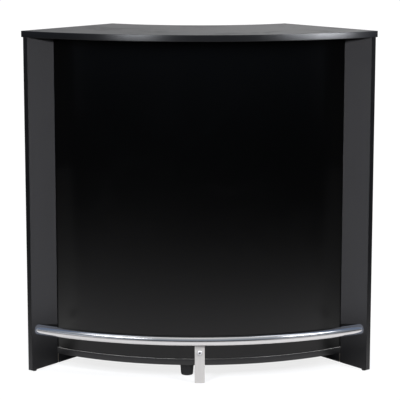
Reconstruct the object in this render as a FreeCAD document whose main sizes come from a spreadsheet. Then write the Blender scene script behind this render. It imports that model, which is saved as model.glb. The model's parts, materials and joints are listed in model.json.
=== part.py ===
import FreeCAD, Part
import math
import os
import Sketcher
from FreeCAD import Vector

# A curved bar cabinet: a top shaped as a ring segment on two side panels, a curved front panel
# set back between them, a foot rail across the recess and open shelves at the back.
# Millimetres and degrees. The front faces -Y, and the origin lies on the floor under the middle of the top.
SIZES = {
    # top
    "overall_height": 1048,
    "half_angle": 37.5,
    "top_outer_radius": 875,
    "top_inner_radius": 450,
    "top_thickness": 19,
    "top_band": 2,
    "top_band_round": 1.5,
    # edge bands of the other boards
    "edge_band": 1,
    "edge_band_round": 0.6,
    # side panels
    "side_thickness": 16,
    "side_overhang": 6,
    "front_overhang": 2,
    "rear_overhang": 12,
    # curved front panel and its grooves
    "front_recess": 120,
    "front_thickness": 3,
    "groove_depth": 7,
    "groove_play": 0.4,
    # bottom board
    "bottom_clearance": 36,
    "bottom_thickness": 19,
    "bottom_lip": 3,
    # middle shelf and dividers
    "shelf_thickness": 16,
    "middle_shelf_height": 530,
    "divider_thickness": 16,
    "board_gap": 0.5,
    # loose shelves on pins
    "loose_shelf_rise": 234,
    "loose_shelf_play": 1,
    "loose_shelf_front_gap": 5,
    "loose_shelf_setback": 12,
    "pin_setback": 48,
    "pin_pitch": 32,
    "pin_stem_diameter": 5,
    "pin_stem_length": 7,
    "pin_head_diameter": 7,
    "pin_head_length": 9,
    "pin_rest_gap": 0.3,
    # cams, bolts and dowels between the boards
    "bore_play": 0.2,
    "end_play": 0.5,
    "fitting_setback": 60,
    "dowel_spacing": 32,
    "dowel_diameter": 8,
    "dowel_in_face": 11,
    "dowel_in_edge": 19,
    "dowel_chamfer": 1,
    "cam_diameter": 15,
    "cam_length": 12,
    "cam_axis_depth": 8,
    "cam_backset": 34,
    "cam_slot_width": 1.6,
    "cam_slot_length": 9,
    "cam_slot_depth": 2.5,
    "bolt_thread_diameter": 5,
    "bolt_thread_length": 11,
    "bolt_stem_diameter": 6,
    "bolt_neck_diameter": 4,
    "bolt_neck_length": 4,
    "bolt_head_length": 4,
    "bolt_hole_diameter": 8,
    # screws from below into the lower divider
    "divider_screw_diameter": 5,
    "divider_screw_length": 50,
    "divider_screw_head": 10,
    "divider_screw_head_height": 4,
    "through_dowel_reach": 17,
    # glides under the side panels
    "glide_height": 5,
    "glide_diameter": 14,
    "glide_round": 2,
    "glide_setback": 18,
    "nail_diameter": 2,
    "nail_head_diameter": 5.2,
    "nail_head_height": 0.9,
    "nail_recess": 0.3,
    "nail_reach": 14,
    # centre foot
    "foot_offset": 38,
    "foot_setback": 26,
    "foot_top_diameter": 42,
    "foot_bottom_diameter": 37,
    "foot_round": 4,
    "foot_web": 8,
    "foot_well_diameter": 14,
    "foot_screw_diameter": 4,
    "foot_screw_head": 8,
    "foot_screw_head_height": 3,
    "foot_screw_reach": 14,
    # foot rail
    "rail_height": 131,
    "rail_setback": 46,
    "rail_shift": 100,
    "rail_diameter": 30,
    "rail_wall": 1.5,
    "rail_end_play": 0.2,
    "boss_diameter": 24,
    "boss_length": 12,
    "boss_screw_diameter": 4,
    "boss_screw_head": 8,
    "boss_screw_head_height": 2.5,
    "boss_screw_reach": 12,
    # post under the rail
    "post_width": 30,
    "post_thickness": 4,
    "post_round": 1.2,
    "post_corner_round": 3,
    "post_top_play": 0.3,
    "lug_thickness": 3,
    "lug_length": 34,
    "weld_depth": 1.2,
    "post_screw_drop": 22,
    "post_screw_diameter": 6,
    "post_screw_head": 14,
    "post_screw_head_height": 3.6,
    "post_screw_head_round": 2.4,
    "post_screw_socket": 4,
    "post_screw_socket_depth": 2.2,
    "post_screw_tail": 2,
    "nut_width": 10,
    "nut_height": 5,
}

PIN_ROW_STEPS = range(-2, 3)
SIGNS = {"right": 1, "left": -1}

# Shared places. Radii are taken from the axis that all the ring-shaped boards share, at (0, ARC_Y).
ARC_Y = "((sizes.top_outer_radius + sizes.top_inner_radius * cos(sizes.half_angle)) / 2)"
TOP_UNDERSIDE = "(sizes.overall_height - sizes.top_thickness)"
SIDE_INNER = "(sizes.side_overhang + sizes.side_thickness)"
SIDE_MIDDLE = "(sizes.side_overhang + sizes.side_thickness / 2)"
SIDE_FRONT = "(sizes.top_outer_radius - sizes.front_overhang)"
SIDE_REAR = "(sizes.top_inner_radius + sizes.rear_overhang)"
FRONT_RADIUS = "(sizes.top_outer_radius - sizes.front_recess)"
FRONT_INNER = f"({FRONT_RADIUS} - sizes.front_thickness)"
GROOVE_BOTTOM = f"({SIDE_INNER} - sizes.groove_depth)"
FLOOR_TOP = "(sizes.bottom_clearance + sizes.bottom_thickness)"
MIDDLE_TOP = "(sizes.middle_shelf_height + sizes.shelf_thickness)"
LOOSE_UNDERSIDE = f"({MIDDLE_TOP} + sizes.loose_shelf_rise)"
RAIL_MIDDLE = "(sizes.top_outer_radius - sizes.rail_setback)"
RAIL_RADIUS = f"({RAIL_MIDDLE} + sizes.rail_shift)"
RAIL_UNDERSIDE = "(sizes.rail_height - sizes.rail_diameter / 2)"
RAIL_ANGLE_REACH = f"({SIDE_INNER} + sizes.rail_shift * sin(sizes.half_angle))"
RAIL_END = f"(sqrt({RAIL_RADIUS}^2 - {RAIL_ANGLE_REACH}^2) - sizes.rail_shift * cos(sizes.half_angle))"
POST_SCREW_HEIGHT = f"({RAIL_UNDERSIDE} - sizes.post_screw_drop)"

CAM_STATIONS = (f"({SIDE_REAR} + sizes.fitting_setback)", f"({FRONT_INNER} - sizes.fitting_setback)")
DOWEL_STATIONS = (f"({CAM_STATIONS[0]} + sizes.dowel_spacing)", f"({CAM_STATIONS[1]} - sizes.dowel_spacing)")
PIN_STATIONS = (f"({SIDE_REAR} + sizes.pin_setback)", f"({FRONT_INNER} - sizes.pin_setback)")

# Turns that lay a piece's own axis along a direction.
TURNS = {
    "+x": "rotation(vector(0; 1; 0); 90)",
    "-x": "rotation(vector(0; 1; 0); -90)",
    "+y": "rotation(vector(1; 0; 0); -90)",
    "-y": "rotation(vector(1; 0; 0); 90)",
    "+z": "rotation(vector(0; 0; 1); 0)",
    "-z": "rotation(vector(1; 0; 0); 180)",
}
FLIPPED = {"+x": "-x", "-x": "+x", "+y": "-y", "-y": "+y", "+z": "-z", "-z": "+z"}

doc = FreeCAD.newDocument("bar_cabinet")
sheet = doc.addObject("Spreadsheet::Sheet", "sizes")
for row, (alias, size) in enumerate(SIZES.items(), 1):
    sheet.set(f"A{row}", alias)
    sheet.set(f"B{row}", str(size))
    sheet.setAlias(f"B{row}", alias)
doc.recompute()

pieces = []


def value_of(expression):
    return float(sheet.evalExpression(expression))


def bind(feature, **expressions):
    for name, expression in expressions.items():
        feature.setExpression(name, expression)


def place(x, y, z, direction="+z", spin=0):
    """Placement at a point, with the piece's own axis along the direction."""
    turned = f"placement(vector({x}; {y}; {z}); {TURNS[direction]})"
    return f"{turned} * placement(vector(0; 0; 0); rotation(vector(0; 0; 1); {spin}))"


def side_frame(sign):
    """Frame of a side panel: x runs outward along the end of the ring segment, z is up."""
    return f"placement(vector(0; {ARC_Y}; 0); rotation(vector(0; 0; 1); ({sign}) * sizes.half_angle - 90))"


def rail_side_frame(sign):
    """Frame of a side panel seen from the foot rail's own frame."""
    turn = f"rotation(vector(0; 0; 1); ({sign}) * sizes.half_angle)"
    return f"placement(vector(sizes.rail_shift; 0; 0); {turn})"


def inward(sign, distance):
    """The side frame's y at a distance inside the end of the top."""
    return f"((-({sign})) * {distance})"


class Axis:
    """A fitting's line: it starts on the face where two boards meet and points into the second one."""

    def __init__(self, x, y, z, direction, sign=None):
        self.point = (x, y, z)
        self.direction = direction
        self.sign = sign

    def local(self, flipped=False, spin=0):
        direction = FLIPPED[self.direction] if flipped else self.direction
        return place(*self.point, direction, spin)

    def whole(self, flipped=False, spin=0):
        placed = self.local(flipped, spin)
        return placed if self.sign is None else f"{side_frame(self.sign)} * {placed}"


def new_body(label, placement=None, kept=True):
    body = doc.addObject("PartDesign::Body", label)
    if placement:
        bind(body, Placement=placement)
    if kept:
        pieces.append(body)
    return body


def block(body, low, size, cut=False, frame=None):
    """A box from its low corner, added to the body or cut from it."""
    kind = "PartDesign::SubtractiveBox" if cut else "PartDesign::AdditiveBox"
    box = body.newObject(kind, f"{body.Name}_block")
    placed = f"{frame} * {place(*low)}" if frame else place(*low)
    bind(box, Length=size[0], Width=size[1], Height=size[2], Placement=placed)
    return box


def drill(body, placed, diameter, depth):
    hole = body.newObject("PartDesign::SubtractiveCylinder", f"{body.Name}_hole")
    bind(hole, Radius=f"({diameter} + sizes.bore_play) / 2", Height=depth, Placement=placed)
    return hole


def new_sketch(body, name, plane, height=None):
    sketch = body.newObject("Sketcher::SketchObject", name)
    support = next(item for item in body.Origin.OriginFeatures if item.Role == plane)
    sketch.AttachmentSupport = [(support, "")]
    sketch.MapMode = "FlatFace"
    if height:
        sketch.setExpression("AttachmentOffset.Base.z", height)
    return sketch


def dimension(sketch, kind, where, name, expression):
    index = sketch.addConstraint(Sketcher.Constraint(kind, *where, value_of(expression)))
    sketch.renameConstraint(index, name)
    sketch.setExpression(f"Constraints.{name}", expression)


def end_x(radius, inset):
    """X where an arc meets a line that runs along the end of the top, an inset inside it."""
    along = f"sqrt(({radius})^2 - ({inset})^2)"
    return f"({along} * sin(sizes.half_angle) - ({inset}) * cos(sizes.half_angle))"


def ring_sketch(body, name, height, outer, inner, inset, left=None):
    """Two arcs about the shared axis, joined at each end by a line along the end of the top or at a set X."""
    sketch = new_sketch(body, name, "XY_Plane", height)
    centre = Vector(0, value_of(ARC_Y), 0)
    arcs = []
    for radius in (outer, inner):
        right_x = end_x(radius, inset)
        left_x = left if left else f"-{right_x}"
        reach = value_of(radius)
        angles = [-math.acos(value_of(x) / reach) for x in (left_x, right_x)]
        arc = Part.ArcOfCircle(Part.Circle(centre, Vector(0, 0, 1), reach), *angles)
        arcs.append((sketch.addGeometry(arc), arc, radius, left_x, right_x))
    (outside, outside_arc, *_), (inside, inside_arc, *_) = arcs
    right = sketch.addGeometry(Part.LineSegment(outside_arc.EndPoint, inside_arc.EndPoint))
    left_end = sketch.addGeometry(Part.LineSegment(inside_arc.StartPoint, outside_arc.StartPoint))
    for joined in (
        (outside, 2, right, 1),
        (right, 2, inside, 2),
        (inside, 1, left_end, 1),
        (left_end, 2, outside, 1),
        (outside, 3, inside, 3),
    ):
        sketch.addConstraint(Sketcher.Constraint("Coincident", *joined))
    sketch.addConstraint(Sketcher.Constraint("PointOnObject", outside, 3, -2))
    dimension(sketch, "DistanceY", (outside, 3), "centre_y", ARC_Y)
    for word, (arc, _, radius, left_x, right_x) in zip(("outer", "inner"), arcs):
        dimension(sketch, "Radius", (arc,), f"{word}_radius", radius)
        dimension(sketch, "DistanceX", (arc, 2), f"{word}_right", right_x)
        dimension(sketch, "DistanceX", (arc, 1), f"{word}_left", left_x)
    return sketch


def ring_board(label, bottom, thickness, outer, inner, inset, left=None):
    """A flat board with curved front and rear edges."""
    body = new_body(label)
    pad = body.newObject("PartDesign::Pad", f"{label}_pad")
    pad.Profile = ring_sketch(body, f"{label}_outline", bottom, outer, inner, inset, left)
    bind(pad, Length=thickness)
    return body


def ring_groove(body, height, upward):
    """The groove in a board's face that an edge of the curved front panel stands in."""
    pocket = body.newObject("PartDesign::Pocket", f"{body.Name}_groove")
    pocket.Profile = ring_sketch(
        body,
        f"{body.Name}_groove_outline",
        height,
        f"({FRONT_RADIUS} + sizes.groove_play)",
        f"({FRONT_INNER} - sizes.groove_play)",
        GROOVE_BOTTOM,
    )
    pocket.Reversed = upward
    bind(pocket, Length="sizes.groove_depth")


def round_edges(body, radius, chosen):
    """Rounds the body's edges whose end points pass the test."""
    doc.recompute()
    base = body.Tip
    names = [
        f"Edge{number}"
        for number, edge in enumerate(base.Shape.Edges, 1)
        if chosen([corner.Point for corner in edge.Vertexes])
    ]
    fillet = body.newObject("PartDesign::Fillet", f"{body.Name}_round")
    fillet.Base = (base, names)
    bind(fillet, Radius=radius)


def near(number, expression):
    return abs(number - value_of(expression)) < 1e-4


def on_arc(radius):
    """Test for edges whose ends lie at a radius from the shared axis."""
    return lambda ends: all(near(math.hypot(end.x, end.y - value_of(ARC_Y)), radius) for end in ends)


def on_plane(axis, expression):
    """Test for edges whose ends lie on a plane across x, y or z."""
    return lambda ends: all(near(getattr(end, axis), expression) for end in ends)


def on_rim(radius, height):
    """Test for a turned piece's round edge."""
    return lambda ends: all(near(end.z, height) and near(math.hypot(end.x, end.y), radius) for end in ends)


def ring_band(label, bottom, thickness, face, core, inset, rounding, left=None):
    """An edge band along a curved edge, from its face's radius to the board's core, rounded on its face."""
    outer, inner = (face, core) if value_of(face) > value_of(core) else (core, face)
    body = ring_board(label, bottom, thickness, outer, inner, inset, left)
    round_edges(body, rounding, on_arc(face))
    return body


def turned(label, profile, placement=None, kept=False):
    """A piece turned about its own axis from a closed outline of (radius, height) corners."""
    body = new_body(label, placement, kept)
    sketch = new_sketch(body, f"{label}_profile", "XZ_Plane")
    corners = [Vector(value_of(radius), value_of(height), 0) for radius, height in profile]
    following = corners[1:] + corners[:1]
    for start, end in zip(corners, following):
        sketch.addGeometry(Part.LineSegment(start, end))
    for index, (radius, height) in enumerate(profile):
        after = (index + 1) % len(profile)
        sketch.addConstraint(Sketcher.Constraint("Coincident", index, 2, after, 1))
        for kind, word, axis, expression in (
            ("DistanceX", "radius", -2, radius),
            ("DistanceY", "height", -1, height),
        ):
            if expression == "0":
                sketch.addConstraint(Sketcher.Constraint("PointOnObject", index, 1, axis))
            else:
                dimension(sketch, kind, (index, 1), f"{word}_{index}", expression)
    turn = body.newObject("PartDesign::Revolution", f"{label}_turn")
    turn.Profile = sketch
    turn.ReferenceAxis = (sketch, ["V_Axis"])
    turn.Angle = 360
    return body


def group(label, pattern, placements):
    """Copies of one fitting as separate solids in one node."""
    copies = []
    for number, placed in enumerate(placements, 1):
        copy = doc.addObject("App::Link", f"{label}_copy_{number}")
        copy.LinkedObject = pattern
        bind(copy, Placement=placed)
        copies.append(copy)
    compound = doc.addObject("Part::Compound", label)
    compound.Links = copies
    pieces.append(compound)


# Lines of the fittings.

def side_axes(stations, height):
    """From each side panel's inner face into the end of a board."""
    return [
        Axis(station, inward(sign, SIDE_INNER), height, "-y" if sign > 0 else "+y", sign)
        for sign in SIGNS.values()
        for station in stations
    ]


def top_axes(stations):
    """From the underside of the top down into each side panel's upper edge."""
    depth = "(" + SIDE_INNER + " - sizes.cam_axis_depth)"
    return [
        Axis(station, inward(sign, depth), TOP_UNDERSIDE, "-z", sign)
        for sign in SIGNS.values()
        for station in stations
    ]


def middle_axes(stations, height, direction):
    """Up or down the middle of the cabinet, in the dividers' plane."""
    return [Axis("0", f"({ARC_Y} - {station})", height, direction) for station in stations]


def pin_axes(sign, height):
    """Four shelf pins of one bay: two into the side panel and two into the divider."""
    in_side = "+y" if sign > 0 else "-y"
    in_divider = "-x" if sign > 0 else "+x"
    face = f"(({sign}) * sizes.divider_thickness / 2)"
    return [Axis(station, inward(sign, SIDE_INNER), height, in_side, sign) for station in PIN_STATIONS] + [
        Axis(face, f"({ARC_Y} - {station})", height, in_divider) for station in PIN_STATIONS
    ]


CAM_BORE_DEPTH = "(sizes.cam_length + sizes.end_play)"
BOTTOM_CAM_HEIGHT = "(sizes.bottom_clearance + sizes.cam_axis_depth)"
MIDDLE_CAM_HEIGHT = "(sizes.middle_shelf_height + sizes.cam_axis_depth)"
BOTTOM_DOWEL_HEIGHT = "(sizes.bottom_clearance + sizes.bottom_thickness / 2)"
MIDDLE_DOWEL_HEIGHT = "(sizes.middle_shelf_height + sizes.shelf_thickness / 2)"
PIN_HEIGHT = f"({LOOSE_UNDERSIDE} - sizes.pin_rest_gap - sizes.pin_head_diameter / 2)"

bottom_bolts = side_axes(CAM_STATIONS, BOTTOM_CAM_HEIGHT)
middle_bolts = side_axes(CAM_STATIONS, MIDDLE_CAM_HEIGHT)
top_bolts = top_axes(CAM_STATIONS)
bottom_dowels = side_axes(DOWEL_STATIONS, BOTTOM_DOWEL_HEIGHT)
middle_dowels = side_axes(DOWEL_STATIONS, MIDDLE_DOWEL_HEIGHT)
top_dowels = top_axes(DOWEL_STATIONS)
divider_top_dowels = middle_axes(CAM_STATIONS, TOP_UNDERSIDE, "-z")
divider_through_dowels = middle_axes(CAM_STATIONS, "sizes.middle_shelf_height", "+z")
divider_screws = middle_axes(CAM_STATIONS, "sizes.bottom_clearance", "+z")


def board_cam(axis, underside):
    """Place of the cam disc that grips a bolt in a board's end, let into the board's underside."""
    station = axis.point[0]
    across = inward(axis.sign, f"({SIDE_INNER} + sizes.cam_backset)")
    return Axis(station, across, underside, "+z", axis.sign)


def panel_cam(axis):
    """Place of the cam disc that grips a bolt from the top, let into a side panel's inner face."""
    station = axis.point[0]
    height = f"({TOP_UNDERSIDE} - sizes.cam_backset)"
    return Axis(station, inward(axis.sign, SIDE_INNER), height, "+y" if axis.sign > 0 else "-y", axis.sign)


bottom_cams = [board_cam(axis, "sizes.bottom_clearance") for axis in bottom_bolts]
middle_cams = [board_cam(axis, "sizes.middle_shelf_height") for axis in middle_bolts]
top_cams = [panel_cam(axis) for axis in top_bolts]

# Bores, each a diameter and a depth.
DOWEL_FACE_BORE = ("sizes.dowel_diameter", "sizes.dowel_in_face + sizes.end_play")
DOWEL_EDGE_BORE = ("sizes.dowel_diameter", "sizes.dowel_in_edge + sizes.end_play")
BOLT_FACE_BORE = ("sizes.bolt_thread_diameter", "sizes.bolt_thread_length + sizes.end_play")
BOLT_EDGE_BORE = ("sizes.bolt_hole_diameter", "sizes.cam_backset")
CAM_BORE = ("sizes.cam_diameter", CAM_BORE_DEPTH)
PIN_BORE = ("sizes.pin_stem_diameter", "sizes.pin_stem_length + sizes.end_play")


def fit_board_ends(board, bolts, dowels, cams):
    """Bores for bolts, dowels and cams in a board that is held between the side panels."""
    for axis in bolts:
        drill(board, axis.whole(), *BOLT_EDGE_BORE)
    for axis in dowels:
        drill(board, axis.whole(), *DOWEL_EDGE_BORE)
    for axis in cams:
        drill(board, axis.whole(), *CAM_BORE)


# Top panel with its four edge bands.

top_core = (
    "(sizes.top_outer_radius - sizes.top_band)",
    "(sizes.top_inner_radius + sizes.top_band)",
)
top_panel = ring_board("top_panel", TOP_UNDERSIDE, "sizes.top_thickness", *top_core, "sizes.top_band")
ring_groove(top_panel, TOP_UNDERSIDE, upward=True)
for axis in top_bolts:
    drill(top_panel, axis.whole(flipped=True), *BOLT_FACE_BORE)
for axis in top_dowels + divider_top_dowels:
    drill(top_panel, axis.whole(flipped=True), *DOWEL_FACE_BORE)

for word, face, core in (
    ("front", "sizes.top_outer_radius", top_core[0]),
    ("rear", "sizes.top_inner_radius", top_core[1]),
):
    ring_band(
        f"top_{word}_edge_band", TOP_UNDERSIDE, "sizes.top_thickness", face, core, "0", "sizes.top_band_round"
    )
top_end_front = f"sqrt({top_core[0]}^2 - sizes.top_band^2)"
for word, sign in SIGNS.items():
    band = new_body(f"top_{word}_edge_band", side_frame(sign))
    low_y = "-sizes.top_band" if sign > 0 else "0"
    block(
        band,
        (top_core[1], low_y, TOP_UNDERSIDE),
        (f"{top_end_front} - {top_core[1]}", "sizes.top_band", "sizes.top_thickness"),
    )
    round_edges(band, "sizes.top_band_round", on_plane("y", "0"))

# Side panels, grooved for the front panel, and the bands on their front and rear edges.

groove_rear = f"(sqrt({FRONT_INNER}^2 - {SIDE_INNER}^2) - sizes.groove_play)"
groove_front = f"(sqrt({FRONT_RADIUS}^2 - {GROOVE_BOTTOM}^2) + sizes.groove_play)"
side_height = f"({TOP_UNDERSIDE} - sizes.glide_height)"
glide_stations = (f"({SIDE_REAR} + sizes.glide_setback)", f"({SIDE_FRONT} - sizes.glide_setback)")
nail_axes = [
    Axis(station, inward(sign, SIDE_MIDDLE), "sizes.glide_height", "+z", sign)
    for sign in SIGNS.values()
    for station in glide_stations
]
boss_axes = [
    Axis(RAIL_END, inward(sign, SIDE_INNER), "sizes.rail_height", "-y" if sign > 0 else "+y", sign)
    for sign in SIGNS.values()
]
for word, sign in SIGNS.items():
    panel = new_body(f"{word}_side_panel", side_frame(sign))
    low_y = f"-{SIDE_INNER}" if sign > 0 else "sizes.side_overhang"
    block(
        panel,
        (f"({SIDE_REAR} + sizes.edge_band)", low_y, "sizes.glide_height"),
        (f"{SIDE_FRONT} - {SIDE_REAR} - 2 * sizes.edge_band", "sizes.side_thickness", side_height),
    )
    groove_y = f"-{SIDE_INNER}" if sign > 0 else GROOVE_BOTTOM
    block(
        panel,
        (groove_rear, groove_y, "sizes.glide_height"),
        (f"{groove_front} - {groove_rear}", "sizes.groove_depth", side_height),
        cut=True,
    )
    for axis in bottom_bolts + middle_bolts:
        if axis.sign == sign:
            drill(panel, axis.local(flipped=True), *BOLT_FACE_BORE)
    for axis in bottom_dowels + middle_dowels:
        if axis.sign == sign:
            drill(panel, axis.local(flipped=True), *DOWEL_FACE_BORE)
    for axes, bore in ((top_bolts, BOLT_EDGE_BORE), (top_dowels, DOWEL_EDGE_BORE), (top_cams, CAM_BORE)):
        for axis in axes:
            if axis.sign == sign:
                drill(panel, axis.local(), *bore)
    for step in PIN_ROW_STEPS:
        for axis in pin_axes(sign, f"({PIN_HEIGHT} + {step} * sizes.pin_pitch)"):
            if axis.sign == sign:
                drill(panel, axis.local(), *PIN_BORE)
    for axis in nail_axes:
        if axis.sign == sign:
            drill(panel, axis.local(), "sizes.nail_diameter", "sizes.nail_reach + sizes.end_play")
    for axis in boss_axes:
        if axis.sign == sign:
            reach = "sizes.boss_screw_reach + sizes.end_play"
            drill(panel, axis.local(flipped=True), "sizes.boss_screw_diameter", reach)
    for edge, low_x, face in (
        ("front", f"({SIDE_FRONT} - sizes.edge_band)", SIDE_FRONT),
        ("rear", SIDE_REAR, SIDE_REAR),
    ):
        band = new_body(f"{word}_side_{edge}_edge_band", side_frame(sign))
        block(
            band,
            (low_x, low_y, "sizes.glide_height"),
            ("sizes.edge_band", "sizes.side_thickness", side_height),
        )
        round_edges(band, "sizes.edge_band_round", on_plane("x", face))

# Curved front panel, standing in the grooves of the side panels, the bottom board and the top.

front_bottom = f"({FLOOR_TOP} - sizes.groove_depth + sizes.groove_play)"
ring_board(
    "front_panel",
    front_bottom,
    f"{TOP_UNDERSIDE} + sizes.groove_depth - sizes.groove_play - {front_bottom}",
    FRONT_RADIUS,
    FRONT_INNER,
    f"({GROOVE_BOTTOM} + sizes.groove_play)",
)

# Bottom board, with a lip in front of the front panel.

bottom_face = f"({FRONT_RADIUS} + sizes.bottom_lip)"
bottom_core = (f"({bottom_face} - sizes.edge_band)", f"({SIDE_REAR} + sizes.edge_band)")
bottom_board = ring_board(
    "bottom_board", "sizes.bottom_clearance", "sizes.bottom_thickness", *bottom_core, SIDE_INNER
)
ring_groove(bottom_board, FLOOR_TOP, upward=False)
fit_board_ends(bottom_board, bottom_bolts, bottom_dowels, bottom_cams)
for axis in divider_screws:
    drill(bottom_board, axis.whole(), "sizes.divider_screw_head", "sizes.divider_screw_head_height")
    drill(bottom_board, axis.whole(), "sizes.divider_screw_diameter", "sizes.bottom_thickness")
foot_y = f"({ARC_Y} - sqrt(({FRONT_RADIUS} - sizes.foot_setback)^2 - sizes.foot_offset^2))"
foot_axis = Axis("-sizes.foot_offset", foot_y, "sizes.bottom_clearance", "+z")
drill(bottom_board, foot_axis.whole(), "sizes.foot_screw_diameter", "sizes.foot_screw_reach + sizes.end_play")
for word, face, core in (("front", bottom_face, bottom_core[0]), ("rear", SIDE_REAR, bottom_core[1])):
    ring_band(
        f"bottom_{word}_edge_band",
        "sizes.bottom_clearance",
        "sizes.bottom_thickness",
        face,
        core,
        SIDE_INNER,
        "sizes.edge_band_round",
    )

# Middle shelf, which keeps the front panel to its curve.

middle_shelf = ring_board(
    "middle_shelf",
    "sizes.middle_shelf_height",
    "sizes.shelf_thickness",
    f"({FRONT_INNER} - sizes.board_gap)",
    bottom_core[1],
    SIDE_INNER,
)
fit_board_ends(middle_shelf, middle_bolts, middle_dowels, middle_cams)
for axis in divider_through_dowels:
    drill(middle_shelf, axis.whole(), "sizes.dowel_diameter", "sizes.shelf_thickness")
ring_band(
    "middle_shelf_edge_band",
    "sizes.middle_shelf_height",
    "sizes.shelf_thickness",
    SIDE_REAR,
    bottom_core[1],
    SIDE_INNER,
    "sizes.edge_band_round",
)

# Dividers below and above the middle shelf.

divider_front = f"({ARC_Y} - {FRONT_INNER} + sizes.board_gap)"
divider_rear = f"({ARC_Y} - {SIDE_REAR})"
divider_core = f"({divider_rear} - sizes.edge_band)"
through_reach = "sizes.through_dowel_reach + sizes.end_play"
screw_reach = "sizes.divider_screw_length - sizes.bottom_thickness + sizes.end_play"
for word, low_z, high_z in (
    ("lower", FLOOR_TOP, "sizes.middle_shelf_height"),
    ("upper", MIDDLE_TOP, TOP_UNDERSIDE),
):
    divider = new_body(f"{word}_divider")
    low_x = "-sizes.divider_thickness / 2"
    block(
        divider,
        (low_x, divider_front, low_z),
        ("sizes.divider_thickness", f"{divider_core} - {divider_front}", f"{high_z} - {low_z}"),
    )
    if word == "lower":
        for axis in middle_axes(CAM_STATIONS, FLOOR_TOP, "+z"):
            drill(divider, axis.whole(), "sizes.divider_screw_diameter", screw_reach)
        for axis in divider_through_dowels:
            drill(divider, axis.whole(flipped=True), "sizes.dowel_diameter", through_reach)
    else:
        for axis in middle_axes(CAM_STATIONS, MIDDLE_TOP, "+z"):
            drill(divider, axis.whole(), "sizes.dowel_diameter", through_reach)
        for axis in divider_top_dowels:
            drill(divider, axis.whole(), *DOWEL_EDGE_BORE)
        for step in PIN_ROW_STEPS:
            for sign in SIGNS.values():
                for axis in pin_axes(sign, f"({PIN_HEIGHT} + {step} * sizes.pin_pitch)"):
                    if axis.sign is None:
                        drill(divider, axis.whole(), *PIN_BORE)
    band = new_body(f"{word}_divider_edge_band")
    block(
        band,
        (low_x, divider_core, low_z),
        ("sizes.divider_thickness", "sizes.edge_band", f"{high_z} - {low_z}"),
    )
    round_edges(band, "sizes.edge_band_round", on_plane("y", divider_rear))

# Loose shelves in the upper bays, with their pins.

loose_face = f"({SIDE_REAR} + sizes.loose_shelf_setback)"
loose_core = f"({loose_face} + sizes.edge_band)"
loose_front = f"({FRONT_INNER} - sizes.loose_shelf_front_gap)"
loose_inset = f"({SIDE_INNER} + sizes.loose_shelf_play)"
loose_left = "(sizes.divider_thickness / 2 + sizes.loose_shelf_play)"


def mirrored(label, source):
    """The same piece on the left of the cabinet's middle plane."""
    mirror = doc.addObject("Part::Mirroring", label)
    mirror.Source = source
    mirror.Normal = Vector(1, 0, 0)
    pieces.append(mirror)


right_shelf = ring_board(
    "right_loose_shelf",
    LOOSE_UNDERSIDE,
    "sizes.shelf_thickness",
    loose_front,
    loose_core,
    loose_inset,
    left=loose_left,
)
right_shelf_band = ring_band(
    "right_loose_shelf_edge_band",
    LOOSE_UNDERSIDE,
    "sizes.shelf_thickness",
    loose_face,
    loose_core,
    loose_inset,
    "sizes.edge_band_round",
    left=loose_left,
)
mirrored("left_loose_shelf", right_shelf)
mirrored("left_loose_shelf_edge_band", right_shelf_band)

pin_stem = "sizes.pin_stem_diameter / 2"
pin_head = "sizes.pin_head_diameter / 2"
shelf_pin = turned(
    "shelf_pin",
    [
        ("0", "-sizes.pin_head_length"),
        (pin_head, "-sizes.pin_head_length"),
        (pin_head, "0"),
        (pin_stem, "0"),
        (pin_stem, "sizes.pin_stem_length"),
        ("0", "sizes.pin_stem_length"),
    ],
)
for word, sign in SIGNS.items():
    group(f"{word}_shelf_pins", shelf_pin, [axis.whole() for axis in pin_axes(sign, PIN_HEIGHT)])

# Dowels, cam bolts and cam discs.

dowel_radius = "sizes.dowel_diameter / 2"
dowel_tip = f"({dowel_radius} - sizes.dowel_chamfer)"


def dowel(label, low, high):
    """A wooden dowel with chamfered ends, between two heights on its axis."""
    return turned(
        label,
        [
            ("0", low),
            (dowel_tip, low),
            (dowel_radius, f"{low} + sizes.dowel_chamfer"),
            (dowel_radius, f"{high} - sizes.dowel_chamfer"),
            (dowel_tip, high),
            ("0", high),
        ],
    )


short_dowel = dowel("short_dowel", "-sizes.dowel_in_face", "sizes.dowel_in_edge")
through_dowel = dowel(
    "through_dowel", "-sizes.through_dowel_reach", "(sizes.shelf_thickness + sizes.through_dowel_reach)"
)
group("bottom_dowels", short_dowel, [axis.whole() for axis in bottom_dowels])
group("middle_shelf_dowels", short_dowel, [axis.whole() for axis in middle_dowels])
group("top_dowels", short_dowel, [axis.whole() for axis in top_dowels + divider_top_dowels])
group("divider_dowels", through_dowel, [axis.whole() for axis in divider_through_dowels])

bolt_thread = "sizes.bolt_thread_diameter / 2"
bolt_stem = "sizes.bolt_stem_diameter / 2"
bolt_neck = "sizes.bolt_neck_diameter / 2"
bolt_tip = "(sizes.cam_backset + sizes.bolt_head_length / 2)"
neck_high = f"({bolt_tip} - sizes.bolt_head_length)"
neck_low = f"({neck_high} - sizes.bolt_neck_length)"
cam_bolt = turned(
    "cam_bolt",
    [
        ("0", "-sizes.bolt_thread_length"),
        (bolt_thread, "-sizes.bolt_thread_length"),
        (bolt_thread, "0"),
        (bolt_stem, "0"),
        (bolt_stem, neck_low),
        (bolt_neck, neck_low),
        (bolt_neck, neck_high),
        (bolt_stem, neck_high),
        (bolt_stem, bolt_tip),
        ("0", bolt_tip),
    ],
)
cam_radius = "sizes.cam_diameter / 2"
cam_disc = turned(
    "cam_disc",
    [("0", "0"), (cam_radius, "0"), (cam_radius, "sizes.cam_length"), ("0", "sizes.cam_length")],
)
drill(
    cam_disc,
    place("0", "-sizes.bolt_head_length", "sizes.cam_axis_depth", "+y"),
    "(sizes.bolt_stem_diameter + 2 * sizes.end_play)",
    "sizes.cam_diameter",
)
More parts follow.
